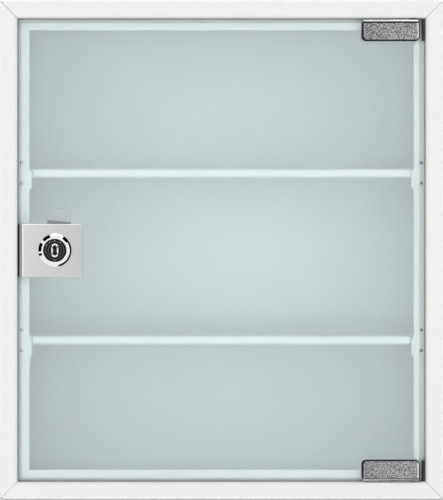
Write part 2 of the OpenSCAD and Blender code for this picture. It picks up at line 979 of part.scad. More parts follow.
module door_buffer() {
    buffer_t = stop_y - lock_plate_back_y - buffer_gap;
    buffer_mid_x = -(opening_x + stop_x) / 2;
    color(rubber)
        slab(stop_y - buffer_t, buffer_t)
            translate([buffer_mid_x - buffer_w / 2, lock_z - buffer_h / 2])
                square([buffer_w, buffer_h]);
}

side_panel_left();
side_panel_right();
top_panel();
bottom_panel();
back_panel();
shelf_upper();
shelf_lower();
shelf_rail_upper_left();
shelf_rail_upper_right();
shelf_rail_lower_left();
shelf_rail_lower_right();
shelf_rivets();
hinge_bush_upper();
hinge_bush_lower();
door_buffer();
door_glass();
hinge_clamp_upper();
hinge_clamp_lower();
hinge_pads_upper();
hinge_pads_lower();
hinge_pin_upper();
hinge_pin_lower();
hinge_grub_screws();
lock_clamp();
lock_pads();
lock_ring();
lock_barrel();
lock_washer();
lock_nut();
lock_plug();
lock_wafers();
lock_cam();
cam_washer();
cam_screw();
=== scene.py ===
"""The looks of a wall-hung medicine cabinet with an etched glass door and a cam lock.

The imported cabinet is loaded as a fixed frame. Its folded sheet-metal body keeps its solids and
gets its finishes here, and the glass, the hinges and the lock are modelled in their places.
Lengths are in metres: +X to the right as seen from the front, +Y to the wall, +Z up.
"""

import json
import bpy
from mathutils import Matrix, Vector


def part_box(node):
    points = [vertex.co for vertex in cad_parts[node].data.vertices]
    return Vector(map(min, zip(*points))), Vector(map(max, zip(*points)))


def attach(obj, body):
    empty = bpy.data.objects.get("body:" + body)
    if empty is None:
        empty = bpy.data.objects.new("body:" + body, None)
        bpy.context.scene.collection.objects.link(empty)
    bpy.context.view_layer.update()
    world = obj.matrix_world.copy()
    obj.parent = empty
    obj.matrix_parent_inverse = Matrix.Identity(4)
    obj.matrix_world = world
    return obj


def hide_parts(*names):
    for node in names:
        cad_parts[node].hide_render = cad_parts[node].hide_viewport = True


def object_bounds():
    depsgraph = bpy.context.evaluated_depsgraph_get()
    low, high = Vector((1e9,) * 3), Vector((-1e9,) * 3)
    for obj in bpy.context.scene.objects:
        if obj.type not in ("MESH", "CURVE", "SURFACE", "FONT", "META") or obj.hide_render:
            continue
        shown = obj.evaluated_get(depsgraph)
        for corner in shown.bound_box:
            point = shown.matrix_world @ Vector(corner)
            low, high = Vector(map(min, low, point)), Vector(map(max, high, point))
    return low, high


bl_info = {
    "name": "Medicine cabinet looks",
    "version": (1, 0, 0),
    "blender": (4, 5, 0),
    "location": "3D View > Sidebar > Cabinet",
    "description": "Etched glass door, pivot hinges, cam lock and finishes of a medicine cabinet",
    "category": "Object",
}

from contextlib import contextmanager
from math import cos, pi, radians, sin, tan

import bmesh
import bpy
from bpy.props import FloatProperty, FloatVectorProperty, PointerProperty
from mathutils import Matrix, Vector

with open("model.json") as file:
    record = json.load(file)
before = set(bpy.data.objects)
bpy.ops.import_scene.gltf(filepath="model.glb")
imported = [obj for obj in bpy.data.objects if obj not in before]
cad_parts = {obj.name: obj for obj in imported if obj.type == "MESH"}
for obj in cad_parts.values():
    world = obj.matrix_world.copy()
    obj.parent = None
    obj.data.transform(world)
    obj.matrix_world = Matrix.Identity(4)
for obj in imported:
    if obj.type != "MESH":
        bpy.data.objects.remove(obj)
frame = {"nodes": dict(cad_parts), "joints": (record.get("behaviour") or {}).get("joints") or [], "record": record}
CAD_BOX = [list(corner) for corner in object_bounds()]

MM = 0.001
HINT = 1e-5  # how near a point counts as being on a plane
JOINT_AT = {joint["name"]: Vector(joint["pos_m"]) for joint in frame["joints"]}
PIVOT = JOINT_AT["door_hinge"]
PLATE_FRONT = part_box("lock_clamp")[0].y
PANE_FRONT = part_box("door_glass")[0].y
STOP_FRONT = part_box("door_buffer")[1].y
FRAME_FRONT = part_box("top_panel")[0].y
PICTURE_HEIGHT = 500  # pixels
LOCK = Vector((JOINT_AT["lock_turn"].x, PLATE_FRONT, JOINT_AT["lock_turn"].z))


# ---- Colours ------------------------------------------------------------------


def linear(hex_value):
    """The linear colour of an sRGB hex value such as #F2F2F0"""
    shares = [int(hex_value[i:i + 2], 16) / 255 for i in (1, 3, 5)]
    return tuple(c / 12.92 if c <= 0.04045 else ((c + 0.055) / 1.055) ** 2.4 for c in shares)


def length(name, description, millimetres):
    """A length that the user can change"""
    return FloatProperty(
        name=name, description=description, default=millimetres * MM, min=0, unit="LENGTH", precision=5
    )


def amount(name, description, default, unit="NONE"):
    """A level, a power or a distance in the studio that the user can change"""
    return FloatProperty(name=name, description=description, default=default, unit=unit)


def colour(name, description, hex_value):
    """A colour that the user can change"""
    return FloatVectorProperty(
        name=name, description=description, default=linear(hex_value), min=0, max=1, subtype="COLOR"
    )


class CabinetSizes(bpy.types.PropertyGroup):
    """Sizes of the softened edges and of the small forms, which the solids leave out"""

    opening_w: length("Opening width", "Width of the opening in the frame", 295.0)
    opening_low: length("Opening foot", "Height of the opening's lower edge", 12.5)
    opening_high: length("Opening top", "Height of the opening's upper edge", 347.5)
    # Painted shade: a thin grey strip on the frame's return, where the return lies in shadow
    shade_tape_t: length("Tape", "Thickness of the sealing tape on the frame's return", 0.35)
    # Painted shade: black blocks that stand for the shadow in the gap beside each hinge clamp
    shade_block_t: length("Guard", "Thickness of the guards beside the hinge clamps", 2.3)
    glass_corner_r: length("Glass corner", "Radius of the pane's corners", 1.2)
    glass_arris: length("Glass arris", "Width of the ground arris round the pane", 0.35)
    glass_hole_r: length("Glass hole", "Radius of the lock's hole in the pane", 8.5)
    clamp_jaw: length("Clamp jaw", "Thickness of a hinge clamp's jaws", 2.0)
    clamp_web: length("Clamp web", "Thickness of a hinge clamp over the pane's edge", 1.8)
    clamp_fold_r: length("Clamp fold", "Radius of a hinge clamp's rear edge over the pane", 2.0)
    clamp_corner_r: length("Clamp corner", "Radius of a hinge clamp's free corners", 3.2)
    clamp_chamfer: length("Clamp chamfer", "Width of the chamfer round a hinge clamp's front", 1.4)
    clamp_edge_r: length("Clamp edge", "Rounding of a hinge clamp's other edges", 0.25)
    clamp_groove_z: length("Clamp groove", "Distance of the groove from a hinge clamp's upper edge", 2.1)
    clamp_groove_w: length("Clamp groove width", "Width of the groove along a hinge clamp's edge", 1.1)
    # Painted shade: the pads' rims past the jaws draw the contact shadow round the clamps
    pad_shade_rim: length("Pad rim", "How far the rubber pads stand out round a hinge clamp's jaws", 0.7)
    pin_r: length("Pin", "Radius of a pivot pin", 1.5)
    bush_r: length("Bush", "Outside radius of a pivot bush behind its rim", 2.35)
    bush_bore_r: length("Bush bore", "Bore radius of a pivot bush", 1.55)
    bush_rim_t: length("Bush rim", "Thickness of a pivot bush's rim", 0.35)
    grub_pitch: length("Grub screws", "Distance between a clamp's two grub screws", 20.0)
    grub_r: length("Grub screw", "Radius of a grub screw", 2.0)
    plate_t: length("Lock clamp sheet", "Thickness of the lock clamp's sheet", 1.0)
    plate_fold_r: length("Lock clamp fold", "Outside radius of the lock clamp's folds", 2.0)
    plate_corner_r: length("Lock clamp corner", "Radius of the lock clamp's free corners", 1.0)
    plate_edge_r: length("Lock clamp edge", "Rounding of the lock clamp's edges", 0.4)
    head_r: length("Lock face", "Radius of the lock's face inside the ring", 8.2)
    head_h: length("Lock face height", "Height of the lock's face above its clamp", 3.4)
    barrel_r: length("Barrel", "Radius of the lock's threaded barrel", 7.5)
    barrel_flat: length("Barrel flats", "Distance across the barrel's two flats", 13.4)
    thread_pitch: length("Thread", "Pitch of the barrel's thread", 1.0)
    plug_r: length("Plug", "Radius of the turning plug", 5.7)
    plug_h: length("Plug height", "Height of the plug's face above the lock clamp", 3.2)
    key_w: length("Keyway width", "Width of the keyway", 1.5)
    key_h: length("Keyway height", "Height of the keyway", 7.5)
    key_depth: length("Keyway depth", "Depth of the keyway behind the lock clamp's face", 10.4)
    collar_w: length("Collar width", "Width of the oval collar round the keyway", 5.2)
    collar_h: length("Collar height", "Height of the oval collar round the keyway", 10.0)
    collar_t: length("Collar rim", "Width of the collar's rim", 1.25)
    tail_side: length("Tail", "Side of the plug's square tail", 6.0)
    screw_r: length("Cam screw", "Radius of the cam screw's shank", 1.5)
    # Painted shadow: a black wrap on the cam draws the dark band above the lock clamp
    shade_sleeve_end: length("Sleeve end", "Distance of the cam sleeve's end from the lock's axis", 21.3)
    shade_sleeve_l: length("Sleeve length", "Length of the cam's rubber sleeve", 6.0)
    cam_lean: FloatProperty(
        name="Cam lean", description="Lean of the unlocked cam", default=radians(6), unit="ROTATION"
    )
    rivet_r: length("Rivet", "Radius of a shelf rivet's shank", 0.8)
    rivet_head_r: length("Rivet head", "Radius of a shelf rivet's head", 1.3)
    cap_r: length("Cap", "Radius of the caps over the wall holes", 5.5)
    cap_h: length("Cap height", "Height of the caps over the wall holes", 1.6)


class CabinetColours(bpy.types.PropertyGroup):
    """Colours of the finishes"""

    powder: colour("Powder coat", "White powder coat of the body", "#F3F3F2")
    # Painted shade and tint: the inside is darker and bluer than the outside only from shade and the glass
    inside: colour("Inside coat", "Powder coat inside the cabinet", "#E0E6E6")
    # Painted light and tint: the back panel is lighter than the other inside faces and bluer than the outside
    back: colour("Back coat", "Powder coat of the back panel's inner face", "#F1F8F8")
    glass: colour("Glass", "What the etched pane lets through", "#F4F9F9")
    glass_edge: colour("Glass edge", "The ground edges of the pane", "#D2EBE7")
    zinc: colour("Blasted zinc", "The hinge clamps", "#9C9A9C")
    # Painted highlight: the bright metal on the clamps' edges that face the light
    rubbed: colour("Rubbed metal", "Edges of the clamps", "#F6F5F5")
    stainless: colour("Stainless steel", "The lock clamp", "#DDDCDC")
    chrome: colour("Chrome", "The lock's ring and the collar of its keyway", "#EDEEEE")
    black_oxide: colour("Black oxide", "The lock's turned face", "#1A1A1B")
    zinc_plate: colour("Zinc plating", "Nut, washers, screws and cam", "#B9BCBF")
    steel: colour("Steel", "The cam", "#8A8D92")
    brass: colour("Brass", "The lock's wafers", "#C9A557")
    # Also the black of painted shade in grooves, gaps and bands
    rubber: colour("Rubber", "Pads and door buffer", "#191919")
    # Also the black of the painted shade beside the hinge clamps
    nylon: colour("Nylon", "Pivot bushes", "#1C1C1C")
    aluminium: colour("Aluminium", "Rivets of the shelf rails", "#B4B4B4")
    # Foam under the wall hole caps, and painted shade on the frame's return
    foam: colour("Foam", "The tape on the frame's return", "#ADADAB")
    floor: colour("Floor", "Floor of the studio", "#E6E6E4")


class StudioLight(bpy.types.PropertyGroup):
    """Levels and distances of the studio's light, and the camera"""

    world: amount("World", "Level of the light from all round", 0.12)
    backdrop: amount("Backdrop", "Level of the backdrop as it is seen", 1.0)
    front_power: amount("Front lamp", "Power of the front lamp", 52.0, "POWER")
    front_size: amount("Front lamp size", "Side of the front lamp", 2.4, "LENGTH")
    front_reach: amount("Front reach", "Distance of the front lamp", 2.8, "LENGTH")
    side_power: amount("Side lamps", "Power of the left and right lamps", 12.0, "POWER")
    top_power: amount("Top lamp", "Power of the top lamp", 16.0, "POWER")
    back_power: amount("Back lamp", "Power of the lamp behind", 16.0, "POWER")
    side_size: amount("Small lamp size", "Side of every lamp but the front one", 1.2, "LENGTH")
    side_reach: amount("Small lamp reach", "Their distance from the cabinet's middle", 1.8, "LENGTH")
    floor_size: amount("Floor size", "Side of the floor", 40.0, "LENGTH")
    floor_near: amount("Floor near", "Where the floor starts to run over into the backdrop", 0.35, "LENGTH")
    floor_far: amount("Floor far", "Where the floor has become the backdrop", 1.8, "LENGTH")
    camera_reach: amount("Camera reach", "Camera to frame", 2.2, "LENGTH")
    pixels_per_metre: amount("Scale", "Pixels per metre at the frame", 1385.8)
    card_reach: amount("Card reach", "Distance of the cards from the lock's axis", 0.6, "LENGTH")
    card_depth: amount("Card depth", "Depth of the cards for the ring's dark patches", 0.62, "LENGTH")
    rim_card_depth: amount("Rim card depth", "Depth of the cards for the ring's dark rim", 0.35, "LENGTH")
    hinge_card_depth: amount("Hinge card depth", "Depth of the cards beside the hinges", 0.06, "LENGTH")
    hinge_card_gap: amount("Hinge card gap", "Distance of the cards from the hinges", 0.008, "LENGTH")


# ---- Modelling helpers ----------------------------------------------------------


def deselect():
    """Leaves nothing selected, in object mode"""
    if bpy.context.object and bpy.context.object.mode != "OBJECT":
        bpy.ops.object.mode_set(mode="OBJECT")
    bpy.ops.object.select_all(action="DESELECT")


def choose(*pieces):
    """Selects pieces alone, the first one active"""
    deselect()
    for piece in pieces:
        piece.select_set(True)
    bpy.context.view_layer.objects.active = pieces[0]


@contextmanager
def editing(piece, kind="VERT"):
    """Edit mode on one piece, with nothing in it selected"""
    choose(piece)
    bpy.ops.object.mode_set(mode="EDIT")
    bpy.ops.mesh.select_mode(type=kind)
    bpy.ops.mesh.select_all(action="DESELECT")
    yield
    bpy.ops.object.mode_set(mode="OBJECT")


def pick_edges(piece, test):
    """Selects the edges whose middle and direction pass a test"""
    mesh = bmesh.from_edit_mesh(piece.data)
    for edge in mesh.edges:
        start, end = (vertex.co for vertex in edge.verts)
        edge.select_set(test((start + end) / 2, (end - start).normalized()))
    bmesh.update_edit_mesh(piece.data)


def pick_faces(piece, test):
    """Selects the faces whose middle and normal pass a test"""
    mesh = bmesh.from_edit_mesh(piece.data)
    for face in mesh.faces:
        face.select_set(test(face.calc_center_median(), face.normal))
    bmesh.update_edit_mesh(piece.data)


def settle():
    """Brings the active piece's place, turn and scale into its mesh"""
    bpy.ops.object.transform_apply(location=True, rotation=True, scale=True)
    return bpy.context.object


def block(low, high):
    """A box between two corners"""
    deselect()
    low, high = Vector(low), Vector(high)
    bpy.ops.mesh.primitive_cube_add(size=1, location=(low + high) / 2, scale=high - low)
    return settle()


def prism(outline, along):
    """A closed outline of points in space, pulled along a vector"""
    deselect()
    bpy.ops.mesh.primitive_circle_add(vertices=len(outline), fill_type="NGON")
    piece = bpy.context.object
    for vertex, point in zip(piece.data.vertices, outline):
        vertex.co = point
    with editing(piece, "FACE"):
        bpy.ops.mesh.select_all(action="SELECT")
        bpy.ops.mesh.extrude_region_move(TRANSFORM_OT_translate={"value": along})
        bpy.ops.mesh.select_all(action="SELECT")
        bpy.ops.mesh.normals_make_consistent(inside=False)
    return piece


def turned(outline, steps=96):
    """A piece turned about Z from a closed outline of radius and height"""
    deselect()
    bpy.ops.mesh.primitive_circle_add(vertices=len(outline), fill_type="NOTHING")
    piece = bpy.context.object
    for vertex, (radius, height) in zip(piece.data.vertices, outline):
        vertex.co = (radius, 0, height)
    with editing(piece):
        bpy.ops.mesh.select_all(action="SELECT")
        bpy.ops.mesh.spin(steps=steps, angle=2 * pi, center=(0, 0, 0), axis=(0, 0, 1))
        bpy.ops.mesh.select_all(action="SELECT")
        bpy.ops.mesh.remove_doubles(threshold=0.1 * HINT)
        bpy.ops.mesh.delete_loose()
        bpy.ops.mesh.select_all(action="SELECT")
        bpy.ops.mesh.normals_make_consistent(inside=False)
    return piece


def rod(radius, start, end, edge):
    """A round bar about Z with both its ends bevelled"""
    return turned([
        (0, start), (radius - edge, start), (radius, start + edge),
        (radius, end - edge), (radius - edge, end), (0, end),
    ], 48)


def arc(middle, radius, start, end, count=6):
    """Points of an arc in a plane, with its angles in degrees"""
    turns = [radians(start + (end - start) * i / count) for i in range(count + 1)]
    return [(middle[0] + radius * cos(t), middle[1] + radius * sin(t)) for t in turns]


def oval(width, height, count=12):
    """Outline of an upright slot with round ends"""
    radius = width / 2
    reach = height / 2 - radius
    return arc((0, reach), radius, 0, 180, count) + arc((0, -reach), radius, 180, 360, count)


def use_modifier(piece, kind, **settings):
    """Adds a modifier to a piece and applies it"""
    modifier = piece.modifiers.new(kind.lower(), kind)
    for name, value in settings.items():
        setattr(modifier, name, value)
    choose(piece)
    bpy.ops.object.modifier_apply(modifier=modifier.name)


def carve(piece, tool, operation="DIFFERENCE"):
    """Cuts a piece with another one, which is used up"""
    use_modifier(piece, "BOOLEAN", object=tool, operation=operation, solver="EXACT")
    bpy.data.objects.remove(tool)
    return piece


def soften(piece, width, segments=3, angle=35):
    """Rounds every edge that is sharper than an angle"""
    use_modifier(
        piece, "BEVEL", width=width, segments=segments, limit_method="ANGLE", angle_limit=radians(angle)
    )
    return piece


def join(*pieces):
    """Makes one piece of several"""
    choose(*pieces)
    bpy.ops.object.join()
    return bpy.context.object


def twin(piece, matrix):
    """A copy with its own mesh, moved by a matrix"""
    copy = piece.copy()
    copy.data = piece.data.copy()
    bpy.context.scene.collection.objects.link(copy)
    copy.data.transform(matrix)
    if matrix.determinant() < 0:
        with editing(copy):
            bpy.ops.mesh.select_all(action="SELECT")
            bpy.ops.mesh.normals_make_consistent(inside=False)
    return copy


def on_lock(piece, turn=0.0):
    """Brings a piece drawn about the origin to the lock: its +Z points forwards, its +Y up"""
    place = Matrix.Translation(LOCK) @ Matrix.Rotation(pi / 2, 4, "X") @ Matrix.Rotation(turn, 4, "Z")
    piece.matrix_world = place
    choose(piece)
    return settle()


def lock_height(y):
    """Height of a depth in the cabinet above the lock clamp's face"""
    return PLATE_FRONT - y


def hand_over(piece, name, material, body, *nodes, smooth=50):
    """Names a piece, gives it a finish, and sets it on its body in place of its solids.

    Rounded edges are shaded smoothly, and the flat faces beside them stay flat."""
    piece.name = name
    piece.data.name = name
    if not piece.data.materials:
        piece.data.materials.append(material)
    choose(piece)
    bpy.ops.object.shade_smooth_by_angle(angle=radians(smooth))
    use_modifier(piece, "WEIGHTED_NORMAL", keep_sharp=True, weight=100)
    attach(piece, body)
    if nodes:
        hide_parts(*nodes)
    deselect()


# ---- Finishes --------------------------------------------------------------------


def add_node(tree, kind, inputs=None, **settings):
    """Adds a node, sets its properties, and fills its inputs or links them"""
    node = tree.nodes.new(kind)
    for name, value in settings.items():
        setattr(node, name, value)
    for name, value in (inputs or {}).items():
        if isinstance(value, bpy.types.NodeSocket):
            tree.links.new(value, node.inputs[name])
        else:
            node.inputs[name].default_value = value
    return node


def start_finish(name, base, **values):
    """A new material with its shader's own sockets set, and its Object coordinates"""
    material = bpy.data.materials.new(name)
    material.use_nodes = True
    tree = material.node_tree
    shader = tree.nodes["Principled BSDF"]
    shader.inputs["Base Color"].default_value = (*base, 1)
    for socket, value in values.items():
        shader.inputs[socket.replace("_", " ")].default_value = value
    place = add_node(tree, "ShaderNodeTexCoord").outputs["Object"]
    return material, tree, shader, place


def grain(tree, place, size, stretch=(1, 1, 1), detail=2.0):
    """Noise whose lumps are about one size across, longer where the stretch is larger"""
    scale = [1 / (size * s) for s in stretch]
    laid = add_node(tree, "ShaderNodeMapping", {"Vector": place, "Scale": scale}).outputs["Vector"]
    noise = add_node(tree, "ShaderNodeTexNoise", {"Vector": laid, "Scale": 1.0, "Detail": detail})
    return noise.outputs["Fac"]


def times(base, factor):
    """A colour made lighter or darker"""
    return tuple(min(1.0, channel * factor) for channel in base)


def mark(tree, shader, base, marks, tones=None, rough=None, height=None, depth=0, strength=1.0):
    """Lets a shader follow its marks: colour between two tones of its base, dullness, and relief.

    The depth of the relief is in millimetres."""
    if tones:
        ramp = add_node(tree, "ShaderNodeValToRGB", {"Fac": marks})
        for stop, position, tone in zip(ramp.color_ramp.elements, (0.3, 0.7), tones):
            stop.position = position
            stop.color = (*times(base, tone), 1)
        tree.links.new(ramp.outputs["Color"], shader.inputs["Base Color"])
    if rough:
        dullness = add_node(
            tree, "ShaderNodeMapRange",
            {"Value": marks, "From Min": 0.3, "From Max": 0.7, "To Min": rough[0], "To Max": rough[1]},
        )
        tree.links.new(dullness.outputs["Result"], shader.inputs["Roughness"])
    if depth:
        inputs = {"Height": height or marks, "Distance": depth * MM, "Strength": strength}
        tree.links.new(add_node(tree, "ShaderNodeBump", inputs).outputs["Normal"], shader.inputs["Normal"])


def surface(name, base, size, tones=None, depth=0, rough=None, stretch=(1, 1, 1), detail=2.0, **values):
    """A material all of whose marks follow one grain, with its size in millimetres"""
    material, tree, shader, place = start_finish(name, base, **values)
    marks = grain(tree, place, size * MM, stretch, detail)
    mark(tree, shader, base, marks, tones, rough, depth=depth)
    return material


def powder_coat(name, base):
    """Polyester powder, baked on sheet steel: satin, with the faint orange peel of melted powder"""
    return surface(name, base, 2.5, (0.985, 1), 0.012, Roughness=0.36, IOR=1.5)


def white_powder_coat(colours):
    """The coat on the frame and the outside"""
    return powder_coat("white_powder_coat", colours.powder)


def shaded_inside_coat(colours):
    """The coat inside: darker and bluer than the outside coat, painted shade of the closed cabinet and the tint of
    the light through the glass
    """
    return powder_coat("shaded_inside_coat", colours.inside)


def tinted_back_coat(colours):
    """The coat on the back panel's inner face: lighter than the other inside faces and bluer than the outside,
    painted light of its lit middle and the tint of the light through the glass
    """
    return powder_coat("tinted_back_coat", colours.back)


def etched_glass(colours):
    """Soda-lime glass, acid-etched: it blurs what lies behind it and is faintly green"""
    return surface(
        "etched_glass", colours.glass, 45, (0.99, 1), detail=1.0,
        Roughness=0.21, IOR=1.52, Transmission_Weight=1.0,
    )


def ground_glass_edge(colours):
    """The pane's ground edges: dull, and greener, because one looks along the glass"""
    return surface(
        "ground_glass_edge", colours.glass_edge, 0.4, depth=0.02, stretch=(8, 1, 8),
        Roughness=0.5, IOR=1.52, Transmission_Weight=1.0,
    )


def blasted_zinc(colours):
    """Zinc die casting, sand-blasted and nickel-plated: a fine bright grain without direction.

    The grain is drawn about 1 mm across, coarser than the grit, so that it shows."""
    base = colours.zinc
    material, tree, shader, place = start_finish("blasted_zinc", base, Metallic=1.0, Roughness=0.42)
    grit = grain(tree, place, 0.8 * MM, detail=1.0)
    pits = add_node(
        tree, "ShaderNodeMapRange",
        {"Value": grit, "From Min": 0.35, "From Max": 0.65, "To Min": 0.2, "To Max": 0.8},
    ).outputs["Result"]
    mark(tree, shader, base, pits, (0.4, 1.75), height=grit, depth=0.08, strength=0.6)
    return material


def painted_highlight_metal(colours):
    """Bright, smooth metal on the edges that face the light: painted highlights"""
    return surface("painted_highlight_metal", colours.rubbed, 0.8, (0.85, 1), Metallic=1.0, Roughness=0.2)


def brushed_steel_sheet(colours):
    """Stainless sheet, finely brushed across the clamp, with a painted sheen that is brighter towards the pane's
    edge
    """
    base = colours.stainless
    material, tree, shader, place = start_finish("brushed_steel_sheet", base, Metallic=1.0, Roughness=0.34)
    hair = grain(tree, place, 0.35 * MM, (60, 60, 1), detail=3.0)
    low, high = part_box("lock_clamp")
    across = add_node(tree, "ShaderNodeSeparateXYZ", {"Vector": place}).outputs["X"]
    # Painted sheen: lighter at the sheet's left end and darker at its right, as the light falls
    sheen = add_node(
        tree, "ShaderNodeMapRange",
        {"Value": across, "From Min": low.x, "From Max": high.x, "To Min": 0.6, "To Max": 0.3},
    ).outputs["Result"]
    uneven = add_node(tree, "ShaderNodeMath", {0: hair, 1: 0.12}, operation="MULTIPLY").outputs[0]
    level = add_node(tree, "ShaderNodeMath", {0: sheen, 1: uneven}, operation="ADD").outputs[0]
    mark(tree, shader, base, level, (0.8, 1), height=hair, depth=0.01, strength=0.5)
    return material


def polished_chrome(colours):
    """Chrome plating on polished zinc: a mirror with faint waves left by the buffing wheel"""
    return surface(
        "polished_chrome", colours.chrome, 4, depth=0.01, detail=0.0, Metallic=1.0, Roughness=0.05
    )


def turned_black_oxide(colours):
    """Blackened steel with the fine rings that the lathe left, which run round the lock's axis"""
    base = colours.black_oxide
    material, tree, shader, place = start_finish("turned_black_oxide", base, Metallic=0.9, Roughness=0.3)
    centred = add_node(tree, "ShaderNodeVectorMath", {0: place, 1: LOCK}, operation="SUBTRACT").outputs[0]
    rings = add_node(
        tree, "ShaderNodeTexWave",
        {"Vector": centred, "Scale": 0.05 / (0.3 * MM), "Distortion": 0.4, "Detail": 1.0},
        wave_type="RINGS", rings_direction="Y",
    ).outputs["Fac"]
    crests = add_node(
        tree, "ShaderNodeMapRange", {"Value": rings, "From Min": 0.72, "To Max": 0.62}
    ).outputs["Result"]
    mark(tree, shader, base, crests, (1, 22), height=rings, depth=0.03, strength=0.7)
    return material


def zinc_plating(colours):
    """Steel with bright zinc plating: bluish grey and slightly cloudy"""
    return surface(
        "zinc_plating", colours.zinc_plate, 3, (0.88, 1.05), rough=(0.26, 0.38), detail=3.0,
        Metallic=1.0, Roughness=0.3,
    )


def dull_steel_and_shade(colours):
    """Cold-rolled steel as the cam is stamped: grey, oiled and a little mottled. The same grey is painted shade in
    the lower hinge clamp's groove
    """
    return surface(
        "dull_steel_and_shade", colours.steel, 2, (0.85, 1.1), rough=(0.44, 0.58), detail=4.0,
        Metallic=1.0, Roughness=0.5,
    )


def stamped_brass(colours):
    """Thin stamped brass, slightly tarnished"""
    return surface("stamped_brass", colours.brass, 1.5, (0.75, 1), detail=3.0, Metallic=1.0, Roughness=0.32)


def black_rubber_and_shade(colours):
    """Moulded rubber: matt, with a fine grain. The same black paints shade: in the hinge clamps' groove, at the
    lock clamp's bend, on the cam's tip, round the pads and beside the lock clamp
    """
    return surface(
        "black_rubber_and_shade", colours.rubber, 0.5, (0.8, 1.3), 0.02, detail=3.0, Roughness=0.75, IOR=1.5
    )


def grey_foam_and_shade(colours):
    """Closed-cell foam tape: matt, with fine pores. Under the wall hole caps it is foam; on the frame's return its
    grey is painted shade
    """
    return surface("grey_foam_and_shade", colours.foam, 0.6, (0.85, 1.1), 0.05, detail=3.0, Roughness=0.8, IOR=1.45)


def black_nylon_and_shade(colours):
    """Moulded nylon: dark, with a soft sheen. Beside the hinge clamps the same black is painted shade"""
    return surface("black_nylon_and_shade", colours.nylon, 0.8, (0.9, 1.1), 0.01, Roughness=0.45, IOR=1.53)


def white_plastic(colours):
    """Moulded polyethylene in the body's white, with a soft sheen"""
    return surface("white_plastic", colours.powder, 1.5, (0.96, 1), 0.01, Roughness=0.45, IOR=1.5)


def plain_aluminium(colours):
    """Soft aluminium as a rivet is headed: dull and a little dented"""
    return surface("plain_aluminium", colours.aluminium, 0.7, (0.85, 1), 0.03, Metallic=1.0, Roughness=0.4)


FINISH_OF_SLOT = {
    "body_paint": white_powder_coat,
    "rivet_aluminium": plain_aluminium,
    "nylon": black_nylon_and_shade,
    "rubber": black_rubber_and_shade,
    "frosted_glass": etched_glass,
    "cast_zinc": blasted_zinc,
    "plain_steel": zinc_plating,
    "brushed_stainless": brushed_steel_sheet,
    "chrome": polished_chrome,
    "lock_face": turned_black_oxide,
    "brass": stamped_brass,
}


def finish(maker):
    """The material that a function makes, made once"""
    made = bpy.data.materials.get(maker.__name__)
    return made or maker(bpy.context.scene.cabinet_colours)


# ---- Body ---------------------------------------------------------------------------


class CABINET_OT_body_finishes(bpy.types.Operator):
    """Give the body, its shelves and the hidden pads their finishes"""

    bl_idname = "cabinet.body_finishes"
    bl_label = "Body finishes"

    def execute(self, context):
        for part in frame["record"]["subparts"]:
            mesh = frame["nodes"][part["node"]].data
            mesh.materials.clear()
            mesh.materials.append(finish(FINISH_OF_SLOT[part["material_slot"]]))
            if part["material_slot"] == "body_paint":
                self.paint_inside_shade(mesh)
        return {"FINISHED"}

    @staticmethod
    def paint_inside_shade(mesh):
        """Gives the door stops and all faces behind them, between the outer walls, the inside coat, whose darker
        and bluer colour is painted shade and tint
        """
        low, high = (Vector(corner) for corner in CAD_BOX)
        front, wall = STOP_FRONT - HINT, 0.5 * MM
        inner = tinted_back_coat if mesh == frame["nodes"]["back_panel"].data else shaded_inside_coat
        mesh.materials.append(finish(inner))
        for face in mesh.polygons:
            spot = face.center
            between = low.x + wall < spot.x < high.x - wall and low.z + wall < spot.z < high.z - wall
            # Index 1 is the inside coat: painted shade and tint
            face.material_index = 1 if between and front < spot.y < high.y - wall else 0


class CABINET_OT_shelf_rivets(bpy.types.Operator):
    """Model the rivets that hold the shelf rails to the door stops"""

    bl_idname = "cabinet.shelf_rivets"
    bl_label = "Shelf rivets"

    def execute(self, context):
        sizes = context.scene.cabinet_sizes
        low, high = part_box("shelf_rivets")
        dome_h = 0.6 * MM
        span = high.y - low.y
        shank, head = sizes.rivet_r, sizes.rivet_head_r
        dome = [(head * cos(radians(a)), span - dome_h + dome_h * sin(radians(a))) for a in (0, 25, 50, 70)]
        outline = [
            (0, 0), (0.8 * head, 0), (head, 0.2 * dome_h), (head, dome_h),
            (shank, dome_h), (shank, span - dome_h), *dome, (0, span),
        ]
        rivet = turned(outline, 32)
        turn_back = Matrix.Rotation(pi / 2, 4, "X")
        side = high.x - head
        rivets = []
        for x in (-side, side):
            for z in self.heights(head):
                rivets.append(twin(rivet, Matrix.Translation((x, high.y, z)) @ turn_back))
        bpy.data.objects.remove(rivet)
        whole = join(*rivets)
        hand_over(whole, "shelf_rivet_heads", finish(plain_aluminium), "cabinet", "shelf_rivets")
        return {"FINISHED"}

    @staticmethod
    def heights(head):
        """The heights of the rivets, read from their solids"""
        mesh = frame["nodes"]["shelf_rivets"].data
        levels = sorted({round(vertex.co.z / MM, 2) for vertex in mesh.vertices})
        found = []
        for level in levels:
            if not found or level * MM > found[-1][-1] + 2 * head:
                found.append([level * MM])
            else:
                found[-1].append(level * MM)
        return [(min(group) + max(group)) / 2 for group in found]


